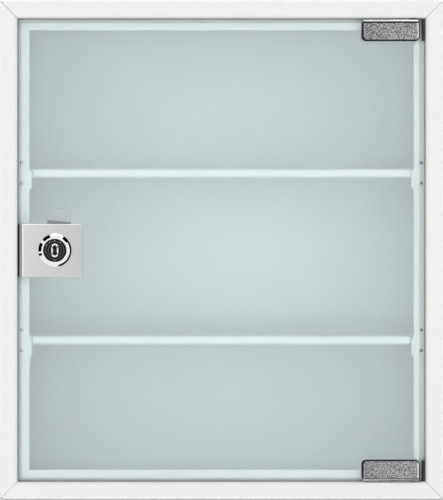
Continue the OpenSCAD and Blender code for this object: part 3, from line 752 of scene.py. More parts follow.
class CABINET_OT_wall_hole_caps(bpy.types.Operator):
    """Model the white caps that close the four wall holes from inside, with foam on their undersides"""

    bl_idname = "cabinet.wall_hole_caps"
    bl_label = "Wall hole caps"

    def execute(self, context):
        sizes = context.scene.cabinet_sizes
        mount = next(item for item in frame["record"]["mounts"] if item["name"] == "wall_screws")
        inner_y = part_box("back_panel")[0].y
        rim, rise = sizes.cap_r, sizes.cap_h
        dome = [(rim * cos(radians(a)), 0.3 * rise + 0.7 * rise * sin(radians(a))) for a in range(0, 81, 16)]
        cap = turned([(0, 0), (rim, 0), *dome, (0, rise)], 48)
        half_x = mount["dims"]["spacing_x_mm"] * MM / 2
        half_z = mount["dims"]["spacing_y_mm"] * MM / 2
        turn = Matrix.Rotation(pi / 2, 4, "X")
        caps = [
            twin(cap, Matrix.Translation((x, inner_y, mount["pos_m"][2] + z)) @ turn)
            for x in (-half_x, half_x) for z in (-half_z, half_z)
        ]
        bpy.data.objects.remove(cap)
        whole = join(*caps)
        for maker in (white_plastic, grey_foam_and_shade):
            whole.data.materials.append(finish(maker))
        for face in whole.data.polygons:
            face.material_index = 1 if face.normal.y > 0.9 else 0
        hand_over(whole, "wall_hole_caps", None, "cabinet")
        return {"FINISHED"}


class CABINET_OT_sealing_tape(bpy.types.Operator):
    """Model a thin grey strip on the frame's return: painted shade, which draws the dark line of shadow round the
    opening
    """

    bl_idname = "cabinet.sealing_tape"
    bl_label = "Sealing tape"

    def execute(self, context):
        sizes = context.scene.cabinet_sizes
        half_x, low_z, high_z = sizes.opening_w / 2, sizes.opening_low, sizes.opening_high
        # The grey strip is painted shade: the return is dark only because it lies in shadow
        tape = block((-half_x, PANE_FRONT, low_z), (half_x, STOP_FRONT, high_z))
        thick = sizes.shade_tape_t
        inner, foot, top = half_x - thick, low_z + thick, high_z - thick
        carve(tape, block((-inner, PANE_FRONT - MM, foot), (inner, STOP_FRONT + MM, top)))
        soften(tape, 0.3 * thick, 2)
        hand_over(tape, "shade_line_tape", finish(grey_foam_and_shade), "cabinet")
        return {"FINISHED"}


class CABINET_OT_hinge_guards(bpy.types.Operator):
    """Model black blocks on the frame's return, beside the clamps and clear of their turn: painted shade for the
    gap beside each hinge, which is dark only from shadow
    """

    bl_idname = "cabinet.hinge_guards"
    bl_label = "Hinge guards"

    def execute(self, context):
        sizes = context.scene.cabinet_sizes
        low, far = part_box("hinge_clamp_upper")[0], sizes.opening_w / 2
        # The black block is painted shade where the gap beside the clamp lies in shadow
        shade_block = block((far - sizes.shade_block_t, low.y + 3 * MM, low.z), (far, STOP_FRONT, sizes.opening_high))
        soften(shade_block, 0.4 * MM, 3)
        shade_blocks = join(shade_block, twin(shade_block, to_lower_hinge()))
        hand_over(shade_blocks, "hinge_shade_blocks", finish(black_nylon_and_shade), "cabinet")
        return {"FINISHED"}


class CABINET_OT_door_buffer(bpy.types.Operator):
    """Model the rubber buffer behind the lock clamp, with its lip on the frame's return. Drawn as high as the
    clamp and out to the return, its black is painted shade in the gap beside the clamp
    """

    bl_idname = "cabinet.door_buffer"
    bl_label = "Door buffer"

    def execute(self, context):
        low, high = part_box("door_buffer")
        plate_low, plate_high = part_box("lock_clamp")
        side = -context.scene.cabinet_sizes.opening_w / 2
        # Painted shade: the buffer's full height beside the clamp and its lip fill a gap that is dark only from
        # shadow
        buffer = soften(block((side, low.y, plate_low.z), (high.x, high.y, plate_high.z)), 0.5 * MM, 3)
        lip = block((side, PANE_FRONT, plate_low.z), (side + 0.6 * MM, high.y, plate_high.z))
        whole = join(buffer, soften(lip, 0.15 * MM, 2))
        hand_over(whole, "rubber_buffer_and_shade", finish(black_rubber_and_shade), "cabinet", "door_buffer")
        return {"FINISHED"}


# ---- Door ----------------------------------------------------------------------------


class CABINET_OT_glass_pane(bpy.types.Operator):
    """Model the etched glass pane with its ground edges and the lock's hole"""

    bl_idname = "cabinet.glass_pane"
    bl_label = "Glass pane"

    def execute(self, context):
        sizes = context.scene.cabinet_sizes
        low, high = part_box("door_glass")
        pane = block(low, high)
        with editing(pane, "EDGE"):
            pick_edges(pane, lambda middle, way: abs(way.y) > 0.9)
            bpy.ops.mesh.bevel(offset=sizes.glass_corner_r, segments=6)
        hole = turned([(0, -8 * MM), (sizes.glass_hole_r, -8 * MM), (sizes.glass_hole_r, MM), (0, MM)])
        carve(pane, on_lock(hole))
        soften(pane, sizes.glass_arris, 2)
        pane.data.materials.append(finish(etched_glass))
        pane.data.materials.append(finish(ground_glass_edge))
        for face in pane.data.polygons:
            face.material_index = 0 if abs(face.normal.y) > 0.99 else 1
        hand_over(pane, "etched_pane", None, "door", "door_glass")
        return {"FINISHED"}


class CABINET_OT_hinge_clamps(bpy.types.Operator):
    """Model the two cast clamps that carry the pane"""

    bl_idname = "cabinet.hinge_clamps"
    bl_label = "Hinge clamps"

    def execute(self, context):
        sizes = context.scene.cabinet_sizes
        low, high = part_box("hinge_clamp_upper")
        web_low = high.z - sizes.clamp_web
        clamp = block((low.x, low.y, web_low), high)
        slot = (low.y + sizes.clamp_jaw, high.y - sizes.clamp_jaw)
        with editing(clamp, "FACE"):
            for y in slot:
                bpy.ops.mesh.select_all(action="SELECT")
                bpy.ops.mesh.bisect(plane_co=(0, y, 0), plane_no=(0, 1, 0))
            pick_faces(clamp, lambda m, normal: normal.z < -0.9 and not slot[0] < m.y < slot[1])
            bpy.ops.mesh.extrude_region_move(TRANSFORM_OT_translate={"value": (0, 0, low.z - web_low)})
            bpy.ops.mesh.select_all(action="SELECT")
            bpy.ops.mesh.dissolve_limited(angle_limit=radians(1))
            bpy.ops.mesh.select_mode(type="EDGE")
            self.round_edges(clamp, sizes, low, high)
        soften(clamp, sizes.clamp_edge_r, 2, 50)
        pin_hole = turned([(0, -MM), (sizes.pin_r, -MM), (sizes.pin_r, 4 * MM), (0, 4 * MM)], 48)
        pin_hole.data.transform(Matrix.Translation((PIVOT.x, PIVOT.y, web_low)))
        carve(clamp, pin_hole)
        for grub in grub_places(sizes):
            hole = turned([(0, 0), (sizes.grub_r, 0), (sizes.grub_r, 4 * MM), (0, 4 * MM)], 48)
            hole.data.transform(grub @ Matrix.Translation((0, 0, -MM)))
            carve(clamp, hole)
        self.groove(clamp, sizes, low, high)
        lower = twin(clamp, to_lower_hinge())
        self.lower_clamp_shade(lower)
        for piece, place in ((clamp, "upper"), (lower, "lower")):
            name, node = "cast_clamp_" + place, "hinge_clamp_" + place
            hand_over(piece, name, finish(blasted_zinc), "door", node, smooth=40)
        return {"FINISHED"}

    @staticmethod
    def groove(clamp, sizes, low, high):
        """Cuts the dark groove that sets the fold off from the front jaw, paints its floor black as shade, and
        paints highlights on the chamfers that face right or up
        """
        middle, half = high.z - sizes.clamp_groove_z, sizes.clamp_groove_w / 2
        bottom = low.y + 0.5 * MM
        for maker in (blasted_zinc, black_rubber_and_shade, painted_highlight_metal):
            clamp.data.materials.append(finish(maker))
        carve(clamp, block((low.x - MM, low.y - MM, middle - half), (high.x + MM, bottom, middle + half)))
        for face in clamp.data.polygons:
            spot, normal = face.center, face.normal
            # Painted light: black on the groove's floor for shade, bright metal on chamfers facing right or up for
            # highlights
            shaded_groove = abs(spot.z - middle) < half + HINT and low.y < spot.y < bottom + HINT
            chamfer = -0.97 < normal.y < -0.2
            bright = chamfer and (abs(normal.x) > 0.25 or normal.z > 0.25)
            face.material_index = 1 if shaded_groove and abs(normal.y) > 0.9 else 2 if bright else 0

    @staticmethod
    def lower_clamp_shade(clamp):
        """Paints the lower clamp's groove grey as a softer painted shade, and leaves its chamfer next to the
        frame, which faces down, blasted zinc without a painted highlight
        """
        clamp.data.materials.append(finish(dull_steel_and_shade))
        for face in clamp.data.polygons:
            if face.material_index == 1:
                face.material_index = 3
            elif face.normal.z < -0.5 and face.material_index == 2:
                face.material_index = 0

    @staticmethod
    def round_edges(clamp, sizes, low, high):
        """Rounds the rear fold and the four free corners, and cuts the chamfer round the front"""
        pick_edges(clamp, lambda m, way: abs(way.x) > 0.9 and m.z > high.z - HINT and m.y > high.y - HINT)
        bpy.ops.mesh.bevel(offset=sizes.clamp_fold_r, segments=8)
        bpy.ops.mesh.select_all(action="DESELECT")
        pick_edges(
            clamp,
            lambda m, way: abs(way.y) > 0.9 and m.z < low.z + HINT
            and not low.x + HINT < m.x < high.x - HINT,
        )
        bpy.ops.mesh.bevel(offset=sizes.clamp_corner_r, segments=8)
        bpy.ops.mesh.select_all(action="DESELECT")
        pick_edges(clamp, lambda m, way: m.y < low.y + HINT and abs(way.y) < 0.1)
        bpy.ops.mesh.bevel(offset=sizes.clamp_chamfer, segments=2, clamp_overlap=False)


class CABINET_OT_hinge_pads(bpy.types.Operator):
    """Model the rubber pads between clamps and pane. They reach past the jaws, so that their rims draw a dark line
    of painted contact shadow round the clamps
    """

    bl_idname = "cabinet.hinge_pads"
    bl_label = "Hinge pads"

    def execute(self, context):
        sizes = context.scene.cabinet_sizes
        pads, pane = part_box("hinge_pads_upper"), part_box("door_glass")
        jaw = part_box("hinge_clamp_upper")[0]
        rim, corner = sizes.pad_shade_rim, sizes.clamp_corner_r
        left, right, foot = jaw.x - rim, pane[1].x - 0.1 * MM, jaw.z - rim
        outline = arc((left + corner, foot + corner), corner, 180, 270)
        outline += arc((right - corner, foot + corner), corner, 270, 360)
        outline += [(right, pads[1].z), (left, pads[1].z)]
        sheets = [
            prism([(x, start, z) for x, z in outline], (0, end - start, 0))
            for start, end in ((pads[0].y, pane[0].y), (pane[1].y, pads[1].y))
        ]
        upper = join(*sheets)
        lower = twin(upper, to_lower_hinge())
        for piece, place in ((upper, "upper"), (lower, "lower")):
            hand_over(piece, "clamp_pads_" + place, finish(black_rubber_and_shade), "door", "hinge_pads_" + place)
        return {"FINISHED"}


def to_lower_hinge():
    """Mirrors the upper hinge about the pane's middle"""
    low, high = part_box("door_glass")
    return Matrix.Translation((0, 0, low.z + high.z)) @ Matrix.Diagonal((1, 1, -1, 1))


def grub_places(sizes):
    """Places of the upper clamp's grub screws, whose +Z points to the wall, at the jaw's inner face"""
    low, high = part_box("hinge_clamp_upper")
    pane_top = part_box("door_glass")[1].z
    middle_x = (low.x + high.x) / 2
    inner_y = high.y - sizes.clamp_jaw
    turn = Matrix.Rotation(-pi / 2, 4, "X")
    return [
        Matrix.Translation((middle_x + side * sizes.grub_pitch / 2, inner_y, (low.z + pane_top) / 2)) @ turn
        for side in (-1, 1)
    ]


class CABINET_OT_hinge_screws(bpy.types.Operator):
    """Model the clamps' grub screws with their hexagon sockets"""

    bl_idname = "cabinet.hinge_screws"
    bl_label = "Grub screws"

    def execute(self, context):
        sizes = context.scene.cabinet_sizes
        low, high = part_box("hinge_grub_screws")
        span = high.y - low.y
        radius = sizes.grub_r
        screw = rod(radius, 0, span, 0.3 * MM)
        deselect()
        bpy.ops.mesh.primitive_cylinder_add(
            vertices=6, radius=radius / 2, depth=span, location=(0, 0, 0.9 * span)
        )
        carve(screw, settle())
        screws = [twin(screw, place) for place in grub_places(sizes)]
        screws += [twin(copy, to_lower_hinge()) for copy in screws]
        bpy.data.objects.remove(screw)
        hand_over(join(*screws), "grub_screws", finish(zinc_plating), "door", "hinge_grub_screws")
        return {"FINISHED"}


class CABINET_OT_hinge_pivots(bpy.types.Operator):
    """Model the pivot pins and the bushes in which they turn"""

    bl_idname = "cabinet.hinge_pivots"
    bl_label = "Pivot pins and bushes"

    def execute(self, context):
        sizes = context.scene.cabinet_sizes
        for place in ("upper", "lower"):
            low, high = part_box("hinge_pin_" + place)
            pin = rod(sizes.pin_r, low.z, high.z, 0.3 * MM)
            pin.data.transform(Matrix.Translation((PIVOT.x, PIVOT.y, 0)))
            hand_over(pin, "pivot_pin_" + place, finish(zinc_plating), "door", "hinge_pin_" + place)
            self.bush(sizes, place)
        return {"FINISHED"}

    @staticmethod
    def bush(sizes, place):
        """A bush whose rim lies in the opening"""
        low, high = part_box("hinge_bush_" + place)
        rim_r = (high.x - low.x) / 2
        start, way = (low.z, 1) if place == "upper" else (high.z, -1)
        far = start + way * (high.z - low.z)
        seat = start + way * sizes.bush_rim_t
        edge = 0.12 * MM
        bush = turned([
            (sizes.bush_bore_r, start), (rim_r - edge, start), (rim_r, start + way * edge), (rim_r, seat),
            (sizes.bush_r, seat), (sizes.bush_r, far - way * edge), (sizes.bush_r - edge, far),
            (sizes.bush_bore_r, far),
        ], 48)
        bush.data.transform(Matrix.Translation((PIVOT.x, PIVOT.y, 0)))
        hand_over(bush, "pivot_bush_" + place, finish(black_nylon_and_shade), "cabinet", "hinge_bush_" + place)


# ---- Lock -----------------------------------------------------------------------------


class CABINET_OT_lock_clamp(bpy.types.Operator):
    """Model the stainless sheet that is bent round the pane's edge and carries the lock"""

    bl_idname = "cabinet.lock_clamp"
    bl_label = "Lock clamp"

    def execute(self, context):
        sizes = context.scene.cabinet_sizes
        low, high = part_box("lock_clamp")
        outer, inner = sizes.plate_fold_r, sizes.plate_fold_r - sizes.plate_t
        front, back = (low.x + outer, low.y + outer), (low.x + outer, high.y - outer)
        section = [
            (high.x, low.y), *arc(front, outer, 270, 180), *arc(back, outer, 180, 90), (high.x, high.y),
            (high.x, high.y - sizes.plate_t), *arc(back, inner, 90, 180), *arc(front, inner, 180, 270),
            (high.x, low.y + sizes.plate_t),
        ]
        plate = prism([(x, y, low.z) for x, y in section], (0, 0, high.z - low.z))
        with editing(plate, "EDGE"):
            pick_edges(
                plate,
                lambda m, way: abs(way.y) > 0.9 and m.x > high.x - HINT
                and not low.z + HINT < m.z < high.z - HINT,
            )
            bpy.ops.mesh.bevel(offset=sizes.plate_corner_r, segments=5)
        carve(plate, barrel_cutter(sizes, 0.1 * MM))
        soften(plate, sizes.plate_edge_r, 3, 50)
        self.bend_shade_and_highlights(plate, low.x + outer, low.y)
        hand_over(plate, "lock_sheet", finish(brushed_steel_sheet), "door", "lock_clamp")
        return {"FINISHED"}

    @staticmethod
    def bend_shade_and_highlights(plate, bend_x, front_y):
        """Paints a black line of shade where the sheet starts to bend, a highlight beside it, and highlights on
        the edges towards the right
        """
        start, bright = bend_x - 0.4 * MM, bend_x + 1.3 * MM
        with editing(plate, "FACE"):
            for x in (start, bend_x, bright):
                bpy.ops.mesh.select_all(action="SELECT")
                bpy.ops.mesh.bisect(plane_co=(x, 0, 0), plane_no=(1, 0, 0))
        for maker in (brushed_steel_sheet, black_rubber_and_shade, painted_highlight_metal):
            plate.data.materials.append(finish(maker))
        for face in plate.data.polygons:
            in_front = face.normal.y < -0.9 and face.center.y < front_y + 0.2 * MM
            edge = -0.99 < face.normal.y < -0.1 and face.center.x > bright
            # Painted light: black for shade at the bend's start, bright metal for highlights
            if in_front and start < face.center.x < bend_x:
                face.material_index = 1
            elif edge or in_front and bend_x < face.center.x < bright:
                face.material_index = 2


def washer(node, hole, steps=96):
    """A flat washer with bevelled rims, where its solid lies on the lock's axis"""
    low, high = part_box(node)
    top, foot = lock_height(low.y), lock_height(high.y)
    rim, edge = (high.x - low.x) / 2, 0.12 * MM
    return on_lock(turned([
        (hole, foot), (rim - edge, foot), (rim, foot + edge),
        (rim, top - edge), (rim - edge, top), (hole, top),
    ], steps))


def barrel_cutter(sizes, gap):
    """The barrel's outline, round with two flats, long enough to cut the lock clamp"""
    half = sizes.barrel_flat / 2 + gap
    cutter = turned([(0, -20 * MM), (sizes.barrel_r + gap, -20 * MM), (sizes.barrel_r + gap, MM), (0, MM)])
    carve(cutter, block((-half, -10 * MM, -30 * MM), (half, 10 * MM, 5 * MM)), "INTERSECT")
    return on_lock(cutter)


class CABINET_OT_lock_ring(bpy.types.Operator):
    """Model the chrome ring round the lock's face"""

    bl_idname = "cabinet.lock_ring"
    bl_label = "Lock ring"

    def execute(self, context):
        sizes = context.scene.cabinet_sizes
        low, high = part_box("lock_ring")
        outer = (high.x - low.x) / 2
        crest = lock_height(low.y)
        inner = sizes.head_r + 0.1 * MM
        lip, big, small = 0.2 * MM, 7.2 * MM, 2.67 * MM
        steep, gentle = radians(45), radians(68)
        brim = crest - small * (1 - sin(gentle)) - big * (sin(gentle) - sin(steep))
        shoulder = arc((outer - big * cos(steep), brim - big * sin(steep)), big, 45, 68, 10)
        bend = (shoulder[-1][0] - small * cos(gentle), shoulder[-1][1] - small * sin(gentle))
        outline = [
            (inner, 0), (outer - 0.1 * MM, 0), (outer, 0.1 * MM), *shoulder, *arc(bend, small, 71, 90, 5),
            (inner + lip, crest), (inner, crest - lip),
        ]
        hand_over(on_lock(turned(outline, 128)), "chrome_ring", finish(polished_chrome), "door", "lock_ring")
        return {"FINISHED"}


class CABINET_OT_lock_barrel(bpy.types.Operator):
    """Model the lock's face, its threaded barrel, and the washer and nut that hold it"""

    bl_idname = "cabinet.lock_barrel"
    bl_label = "Lock barrel"

    def execute(self, context):
        sizes = context.scene.cabinet_sizes
        end = lock_height(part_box("lock_barrel")[1].y)
        bore = sizes.plug_r + 0.05 * MM
        top, face = sizes.head_h, sizes.head_r
        crest, pitch = sizes.barrel_r, sizes.thread_pitch
        root = crest - 0.45 * pitch
        thread = []
        for i in range(int((-MM - end) / pitch)):
            z = end + (i + 0.5) * pitch
            thread += [(root, z), (crest, z + 0.4 * pitch), (crest, z + 0.6 * pitch)]
        outline = [
            (bore, end), (root, end), *thread, (crest, 0), (face, 0),
            (face, top - 0.35 * MM), (face - 0.35 * MM, top), (7.25 * MM, top), (7.15 * MM, top - 0.15 * MM),
            (6.95 * MM, top - 0.15 * MM), (6.85 * MM, top), (bore + 0.25 * MM, top), (bore, top - 0.2 * MM),
        ]
        barrel = turned(outline)
        half = sizes.barrel_flat / 2
        for side in (-1, 1):
            near, far = sorted((side * half, side * 12 * MM))
            carve(barrel, block((near, -12 * MM, 2 * end), (far, 12 * MM, -0.02 * MM)))
        hand_over(on_lock(barrel), "threaded_barrel", finish(turned_black_oxide), "door", "lock_barrel")
        self.washer_and_nut(sizes)
        return {"FINISHED"}

    @staticmethod
    def washer_and_nut(sizes):
        """The washer and the six-sided nut behind the lock clamp"""
        hole = sizes.barrel_r + 0.1 * MM
        hand_over(washer("lock_washer", hole), "flat_washer", finish(zinc_plating), "door", "lock_washer")
        low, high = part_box("lock_nut")
        top, foot = lock_height(low.y), lock_height(high.y)
        corner = (high.x - low.x) / 2
        flat = (high.z - low.z) / 2
        deselect()
        bpy.ops.mesh.primitive_cylinder_add(
            vertices=6, radius=corner, depth=top - foot,
            location=(0, 0, (top + foot) / 2), rotation=(0, 0, pi / 6),
        )
        nut = settle()
        chamfer = 0.45 * MM
        dome = turned([
            (hole, foot - MM), (flat, foot - MM), (flat, foot), (corner, foot + chamfer),
            (corner, top - chamfer), (flat, top), (flat, top + MM), (hole, top + MM),
        ])
        carve(nut, dome, "INTERSECT")
        if abs(high.x - low.x) > abs(high.z - low.z):
            nut.data.transform(Matrix.Rotation(pi / 6, 4, "Z"))
        hand_over(on_lock(nut), "hexagon_nut", finish(zinc_plating), "door", "lock_nut")


class CABINET_OT_lock_plug(bpy.types.Operator):
    """Model the plug that the key turns, with its keyway, tail and bright collar"""

    bl_idname = "cabinet.lock_plug"
    bl_label = "Lock plug"

    def execute(self, context):
        sizes = context.scene.cabinet_sizes
        end = lock_height(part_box("lock_barrel")[1].y)
        tail_end = lock_height(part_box("lock_plug")[1].y)
        top, body_r = sizes.plug_h, sizes.plug_r
        plug = turned([
            (0, end), (body_r, end), (body_r, top - 0.2 * MM), (body_r - 0.2 * MM, top), (5.25 * MM, top),
            (5.15 * MM, top - 0.1 * MM), (4.95 * MM, top - 0.1 * MM), (4.85 * MM, top), (0, top),
        ])
        half_w, half_h = sizes.key_w / 2, sizes.key_h / 2
        carve(plug, block((-half_w, -half_h, -sizes.key_depth), (half_w, half_h, 2 * top)))
        self.wafer_slots(plug)
        side = sizes.tail_side / 2
        tail = soften(block((-side, -side, tail_end), (side, side, end + MM)), 0.2 * MM, 2)
        bore = turned([(0, 2 * tail_end), (sizes.screw_r, 2 * tail_end), (sizes.screw_r, end), (0, end)], 48)
        carve(tail, bore)
        tail.data.transform(Matrix.Rotation(-sizes.cam_lean, 4, "Z"))
        hand_over(
            on_lock(join(plug, tail)), "key_plug", finish(turned_black_oxide), "lock_core", "lock_plug"
        )
        self.collar(sizes)
        return {"FINISHED"}

    @staticmethod
    def wafer_slots(plug):
        """Opens the plug where its wafers lie"""
        low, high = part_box("lock_wafers")
        gap = 0.15 * MM
        half_w, half_h = (high.x - low.x) / 2 + gap, (high.z - low.z) / 2 + gap
        carve(plug, block(
            (-half_w, -half_h, lock_height(high.y) - gap), (half_w, half_h, lock_height(low.y) + gap)
        ))

    @staticmethod
    def collar(sizes):
        """The bright oval round the keyway"""
        foot = sizes.plug_h - 0.3 * MM
        rise = 0.5 * MM
        collar = prism([(x, y, foot) for x, y in oval(sizes.collar_w, sizes.collar_h)], (0, 0, rise))
        hollow = oval(sizes.collar_w - 2 * sizes.collar_t, sizes.collar_h - 2 * sizes.collar_t)
        carve(collar, prism([(x, y, foot - MM) for x, y in hollow], (0, 0, 4 * MM)))
        soften(collar, 0.24 * MM, 3)
        for turn in (radians(38), -radians(38)):
            slit = block((-0.3 * MM, -8 * MM, foot - MM), (0.3 * MM, 8 * MM, foot + MM))
            slit.data.transform(Matrix.Rotation(turn, 4, "Z"))
            carve(collar, slit)
        half_w, half_h = 0.26 * MM, 0.65 * MM
        tick = soften(block((-half_w, -half_h, foot), (half_w, half_h, foot + rise)), 0.06 * MM, 2)
        ticks = [
            twin(tick, Matrix.Rotation(radians(turn), 4, "Z") @ Matrix.Translation((0, 6.7 * MM, 0)))
            for turn in (0, 32, 60, 180, -35)
        ]
        bpy.data.objects.remove(tick)
        hand_over(on_lock(collar), "keyway_collar", finish(polished_chrome), "lock_core")
        hand_over(on_lock(join(*ticks)), "face_ticks", finish(polished_chrome), "door")


class CABINET_OT_lock_cam(bpy.types.Operator):
    """Model the cam with its washer and screw"""

    bl_idname = "cabinet.lock_cam"
    bl_label = "Cam"

    def execute(self, context):
        sizes = context.scene.cabinet_sizes
        low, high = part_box("lock_cam")
        top, foot = lock_height(low.y), lock_height(high.y)
        radius = LOCK.z - low.z
        tip = (high.z - radius - LOCK.z) / cos(sizes.cam_lean)
        outline = arc((0, tip), radius, 0, 180, 24) + arc((0, 0), radius, 180, 360, 24)
        cam = prism([(x, y, foot) for x, y in outline], (0, 0, top - foot))
        half = sizes.tail_side / 2 + 0.1 * MM
        carve(cam, block((-half, -half, 2 * foot), (half, half, 0)))
        soften(cam, 0.35 * MM, 3)
        hand_over(on_lock(cam, -sizes.cam_lean), "steel_cam", finish(dull_steel_and_shade), "lock_core", "lock_cam")
        self.shade_sleeve(sizes, radius, top, foot)
        hole = sizes.screw_r + 0.1 * MM
        ring = washer("cam_washer", hole, 64)
        hand_over(ring, "cam_flat_washer", finish(zinc_plating), "lock_core", "cam_washer")
        self.screw(sizes)
        return {"FINISHED"}

    @staticmethod
    def shade_sleeve(sizes, radius, top, foot):
        """A black rubber wrap round the cam's tip: painted shadow, the dark band above the lock clamp"""
        skin = 0.25 * MM
        half, end = radius + skin, sizes.shade_sleeve_end
        shade_sleeve = block((-half, end - sizes.shade_sleeve_l, foot - skin), (half, end, top + skin))
        soften(shade_sleeve, 0.2 * MM, 2)
        hand_over(on_lock(shade_sleeve, -sizes.cam_lean), "cam_shade_sleeve", finish(black_rubber_and_shade), "lock_core")

    @staticmethod
    def screw(sizes):
        """The screw at the back, with a domed head and a cross recess"""
        low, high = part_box("cam_screw")
        foot, tip = lock_height(high.y), lock_height(low.y)
        rim = (high.x - low.x) / 2
        seat = lock_height(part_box("cam_washer")[1].y)
        rise, shank = seat - foot, sizes.screw_r
        dome = [(rim * sin(radians(a)), seat - rise * cos(radians(a)) ** 0.8) for a in (15, 35, 55, 75)]
        screw = turned([(0, foot), *dome, (rim, seat), (shank, seat), (shank, tip), (0, tip)], 64)
        arm, wide, deep = rim / 2, rim / 9, 0.6 * rise
        for half_x, half_y in ((arm, wide), (wide, arm)):
            carve(screw, block((-half_x, -half_y, foot - MM), (half_x, half_y, foot + deep)))
        hand_over(on_lock(screw), "cross_head_screw", finish(zinc_plating), "lock_core", "cam_screw")


# ---- Studio ------------------------------------------------------------------------------


class CABINET_OT_studio(bpy.types.Operator):
    """Set up the floor, the light from all round, the lamps and the camera"""

    bl_idname = "cabinet.studio"
    bl_label = "Studio"

    def execute(self, context):
        light = context.scene.cabinet_light
        context.scene.view_settings.view_transform = "Standard"
        context.scene.cycles.diffuse_bounces = 8  # so that light finds its way out of the closed cabinet
        self.floor(context, light)
        self.world(context, light)
        self.lamps(light)
        self.cards(light)
        self.camera(context, light)
        return {"FINISHED"}

    @staticmethod
    def floor(context, light):
        """A plain pale floor just under the cabinet, which lets the light from below through"""
        deselect()
        bpy.ops.mesh.primitive_plane_add(size=light.floor_size, location=(0, 0, -0.5 * MM))
        floor = settle()
        floor.name = "floor"
        base = context.scene.cabinet_colours.floor
        material, tree, shader, place = start_finish("pale_floor", base, Roughness=0.6)
        speckle = grain(tree, place, 4 * MM, detail=3.0)
        mark(tree, shader, base, speckle, (0.98, 1))
        # Further off, where no lamp reaches it, the floor runs over into the white backdrop
        off = add_node(tree, "ShaderNodeVectorMath", {0: place}, operation="LENGTH").outputs["Value"]
        far = add_node(
            tree, "ShaderNodeMapRange",
            {"Value": off, "From Min": light.floor_near, "From Max": light.floor_far},
            interpolation_type="SMOOTHSTEP",
        ).outputs["Result"]
        seen = add_node(tree, "ShaderNodeLightPath").outputs["Is Camera Ray"]
        share = add_node(tree, "ShaderNodeMath", {0: far, 1: seen}, operation="MULTIPLY").outputs[0]
        white = add_node(tree, "ShaderNodeEmission", {"Color": (1, 1, 1, 1), "Strength": 1.0}).outputs[0]
        mixed = add_node(tree, "ShaderNodeMixShader", {0: share, 1: shader.outputs[0], 2: white}).outputs[0]
        tree.links.new(mixed, tree.nodes["Material Output"].inputs["Surface"])
        floor.data.materials.append(material)
        floor.visible_shadow = False
        floor.visible_transmission = False
        floor.visible_glossy = False

    @staticmethod
    def world(context, light):
        """Even light from all round, and a white backdrop where it is looked at or mirrored"""
        world = bpy.data.worlds.new("studio")
        world.use_nodes = True
        tree = world.node_tree
        ray = add_node(tree, "ShaderNodeLightPath").outputs
        seen = ray["Is Camera Ray"]
        for kind in ("Is Glossy Ray", "Is Transmission Ray"):
            seen = add_node(tree, "ShaderNodeMath", {0: seen, 1: ray[kind]}, operation="MAXIMUM").outputs[0]
        level = add_node(
            tree, "ShaderNodeMapRange", {"Value": seen, "To Min": light.world, "To Max": light.backdrop}
        ).outputs["Result"]
        background = tree.nodes["Background"]
        background.inputs["Color"].default_value = (1, 1, 1, 1)
        tree.links.new(level, background.inputs["Strength"])
        context.scene.world = world

    @staticmethod
    def lamps(light):
        """A large soft lamp behind the camera, and a smaller one for each side but the floor's.

        The front and the left lamps don't show in metal, whose left edges are dark in the photograph."""
        middle, reach = Vector((0, 0, (CAD_BOX[0][2] + CAD_BOX[1][2]) / 2)), light.side_reach
        for name, place, side, power, in_metal in (
            ("front", (0, -light.front_reach, 0), light.front_size, light.front_power, False),
            ("left", (-reach, FRAME_FRONT, 0), light.side_size, light.side_power, False),
            ("right", (reach, FRAME_FRONT, 0), light.side_size, light.side_power, True),
            ("top", (0, FRAME_FRONT, reach), light.side_size, light.top_power, True),
            ("back", (0, reach, 0), light.side_size, light.back_power, True),
        ):
            deselect()
            bpy.ops.object.light_add(type="AREA", location=middle + Vector(place))
            lamp = bpy.context.object
            lamp.name = "soft_lamp_" + name
            lamp.data.shape = "SQUARE"
            lamp.data.size = side
            lamp.data.energy = power
            lamp.rotation_euler = (-Vector(place)).to_track_quat("-Z", "Y").to_euler()
            lamp.visible_camera = False
            lamp.visible_glossy = in_metal

    def cards(self, light):
        """Black cards that stand edge-on to the camera and show only in metal.

        Those round the lock give its ring its dark patches and, where they are shallow, its dark rim.
        Their azimuths count from the right towards the top. One beside each hinge darkens its left edge."""
        reach, deep, shallow = light.card_reach, light.card_depth, light.rim_card_depth
        black = self.card_finish("black_card", False)
        for start, end, depth in (
            (112, 142, deep), (153, 184, deep), (190, 200, deep), (35, 60, deep),
            (-80, -42, shallow), (-42, -4, shallow), (-4, 35, shallow),
        ):
            azimuth = radians((start + end) / 2)
            around = Vector((reach * cos(azimuth), -depth / 2, reach * sin(azimuth)))
            width = 2 * reach * tan(radians(end - start) / 2)
            self.card("black_card_" + str(start), LOCK + around, (width, depth), azimuth, black)
        one_sided = self.card_finish("one_sided_card", True)
        foot, depth = PANE_FRONT - 0.1 * MM, light.hinge_card_depth
        for place in ("upper", "lower"):
            low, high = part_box("hinge_clamp_" + place)
            spot = Vector((low.x - light.hinge_card_gap, foot - depth / 2, (low.z + high.z) / 2))
            self.card("hinge_card_" + place, spot, (high.z - low.z + 30 * MM, depth), 0, one_sided)

    @staticmethod
    def card(name, place, size, azimuth, material):
        """One card, its face turned to an azimuth about the camera's line"""
        deselect()
        bpy.ops.mesh.primitive_plane_add(size=1, location=place, rotation=(0, pi / 2 - azimuth, 0))
        bpy.context.object.scale = (*size, 1)
        card = settle()
        card.name = name
        card.data.materials.append(material)
        card.visible_camera = False
        card.visible_diffuse = False
        card.visible_shadow = False
        card.visible_transmission = False

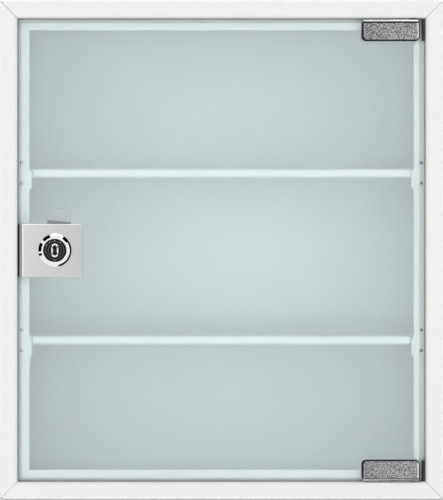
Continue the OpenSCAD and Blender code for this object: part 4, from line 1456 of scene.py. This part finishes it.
    @staticmethod
    def card_finish(name, one_sided):
        """Black without a sheen, which a one-sided card shows on its front alone"""
        material, tree, shader, _ = start_finish(name, (0, 0, 0), Specular_IOR_Level=0.0)
        if one_sided:
            behind = add_node(tree, "ShaderNodeNewGeometry").outputs["Backfacing"]
            clear = add_node(tree, "ShaderNodeBsdfTransparent").outputs["BSDF"]
            mixed = add_node(tree, "ShaderNodeMixShader", {0: behind, 1: shader.outputs["BSDF"], 2: clear})
            tree.links.new(mixed.outputs["Shader"], tree.nodes["Material Output"].inputs["Surface"])
        return material

    @staticmethod
    def camera(context, light):
        """The camera square in front of the cabinet, at the height of its middle"""
        low, high = (Vector(corner) for corner in CAD_BOX)
        bpy.ops.object.camera_add(
            location=(0, FRAME_FRONT - light.camera_reach, (low.z + high.z) / 2), rotation=(pi / 2, 0, 0)
        )
        camera = bpy.context.object
        view = camera.data
        view.sensor_fit = "VERTICAL"
        view.sensor_height = 36
        view.lens = light.pixels_per_metre * light.camera_reach * view.sensor_height / PICTURE_HEIGHT
        view.clip_start = 0.01
        context.scene.camera = camera


class CABINET_PT_sidebar(bpy.types.Panel):
    """Lists the cabinet's pieces, sizes, colours and light"""

    bl_idname = "CABINET_PT_sidebar"
    bl_label = "Medicine cabinet"
    bl_space_type = "VIEW_3D"
    bl_region_type = "UI"
    bl_category = "Cabinet"

    def draw(self, context):
        for operator in OPERATORS:
            self.layout.operator(operator.bl_idname)
        for settings in (
            context.scene.cabinet_sizes, context.scene.cabinet_colours, context.scene.cabinet_light
        ):
            box = self.layout.box()
            for name in settings.__annotations__:
                box.prop(settings, name)


SETTINGS = {"cabinet_sizes": CabinetSizes, "cabinet_colours": CabinetColours, "cabinet_light": StudioLight}
OPERATORS = (
    CABINET_OT_body_finishes,
    CABINET_OT_shelf_rivets,
    CABINET_OT_wall_hole_caps,
    CABINET_OT_sealing_tape,
    CABINET_OT_hinge_guards,
    CABINET_OT_door_buffer,
    CABINET_OT_glass_pane,
    CABINET_OT_hinge_clamps,
    CABINET_OT_hinge_pads,
    CABINET_OT_hinge_screws,
    CABINET_OT_hinge_pivots,
    CABINET_OT_lock_clamp,
    CABINET_OT_lock_ring,
    CABINET_OT_lock_barrel,
    CABINET_OT_lock_plug,
    CABINET_OT_lock_cam,
    CABINET_OT_studio,
)


def register():
    """Registers the settings, the operators and the panel"""
    for group in (*SETTINGS.values(), *OPERATORS, CABINET_PT_sidebar):
        bpy.utils.register_class(group)
    for name, group in SETTINGS.items():
        setattr(bpy.types.Scene, name, PointerProperty(type=group))


def unregister():
    """Removes the settings, the operators and the panel"""
    for name in SETTINGS:
        delattr(bpy.types.Scene, name)
    for group in reversed((*SETTINGS.values(), *OPERATORS, CABINET_PT_sidebar)):
        bpy.utils.unregister_class(group)


def main():
    """Builds the dressed cabinet"""
    register()
    for operator in OPERATORS:
        getattr(bpy.ops.cabinet, operator.bl_idname.split(".")[1])()


if __name__ == "__main__":
    main()
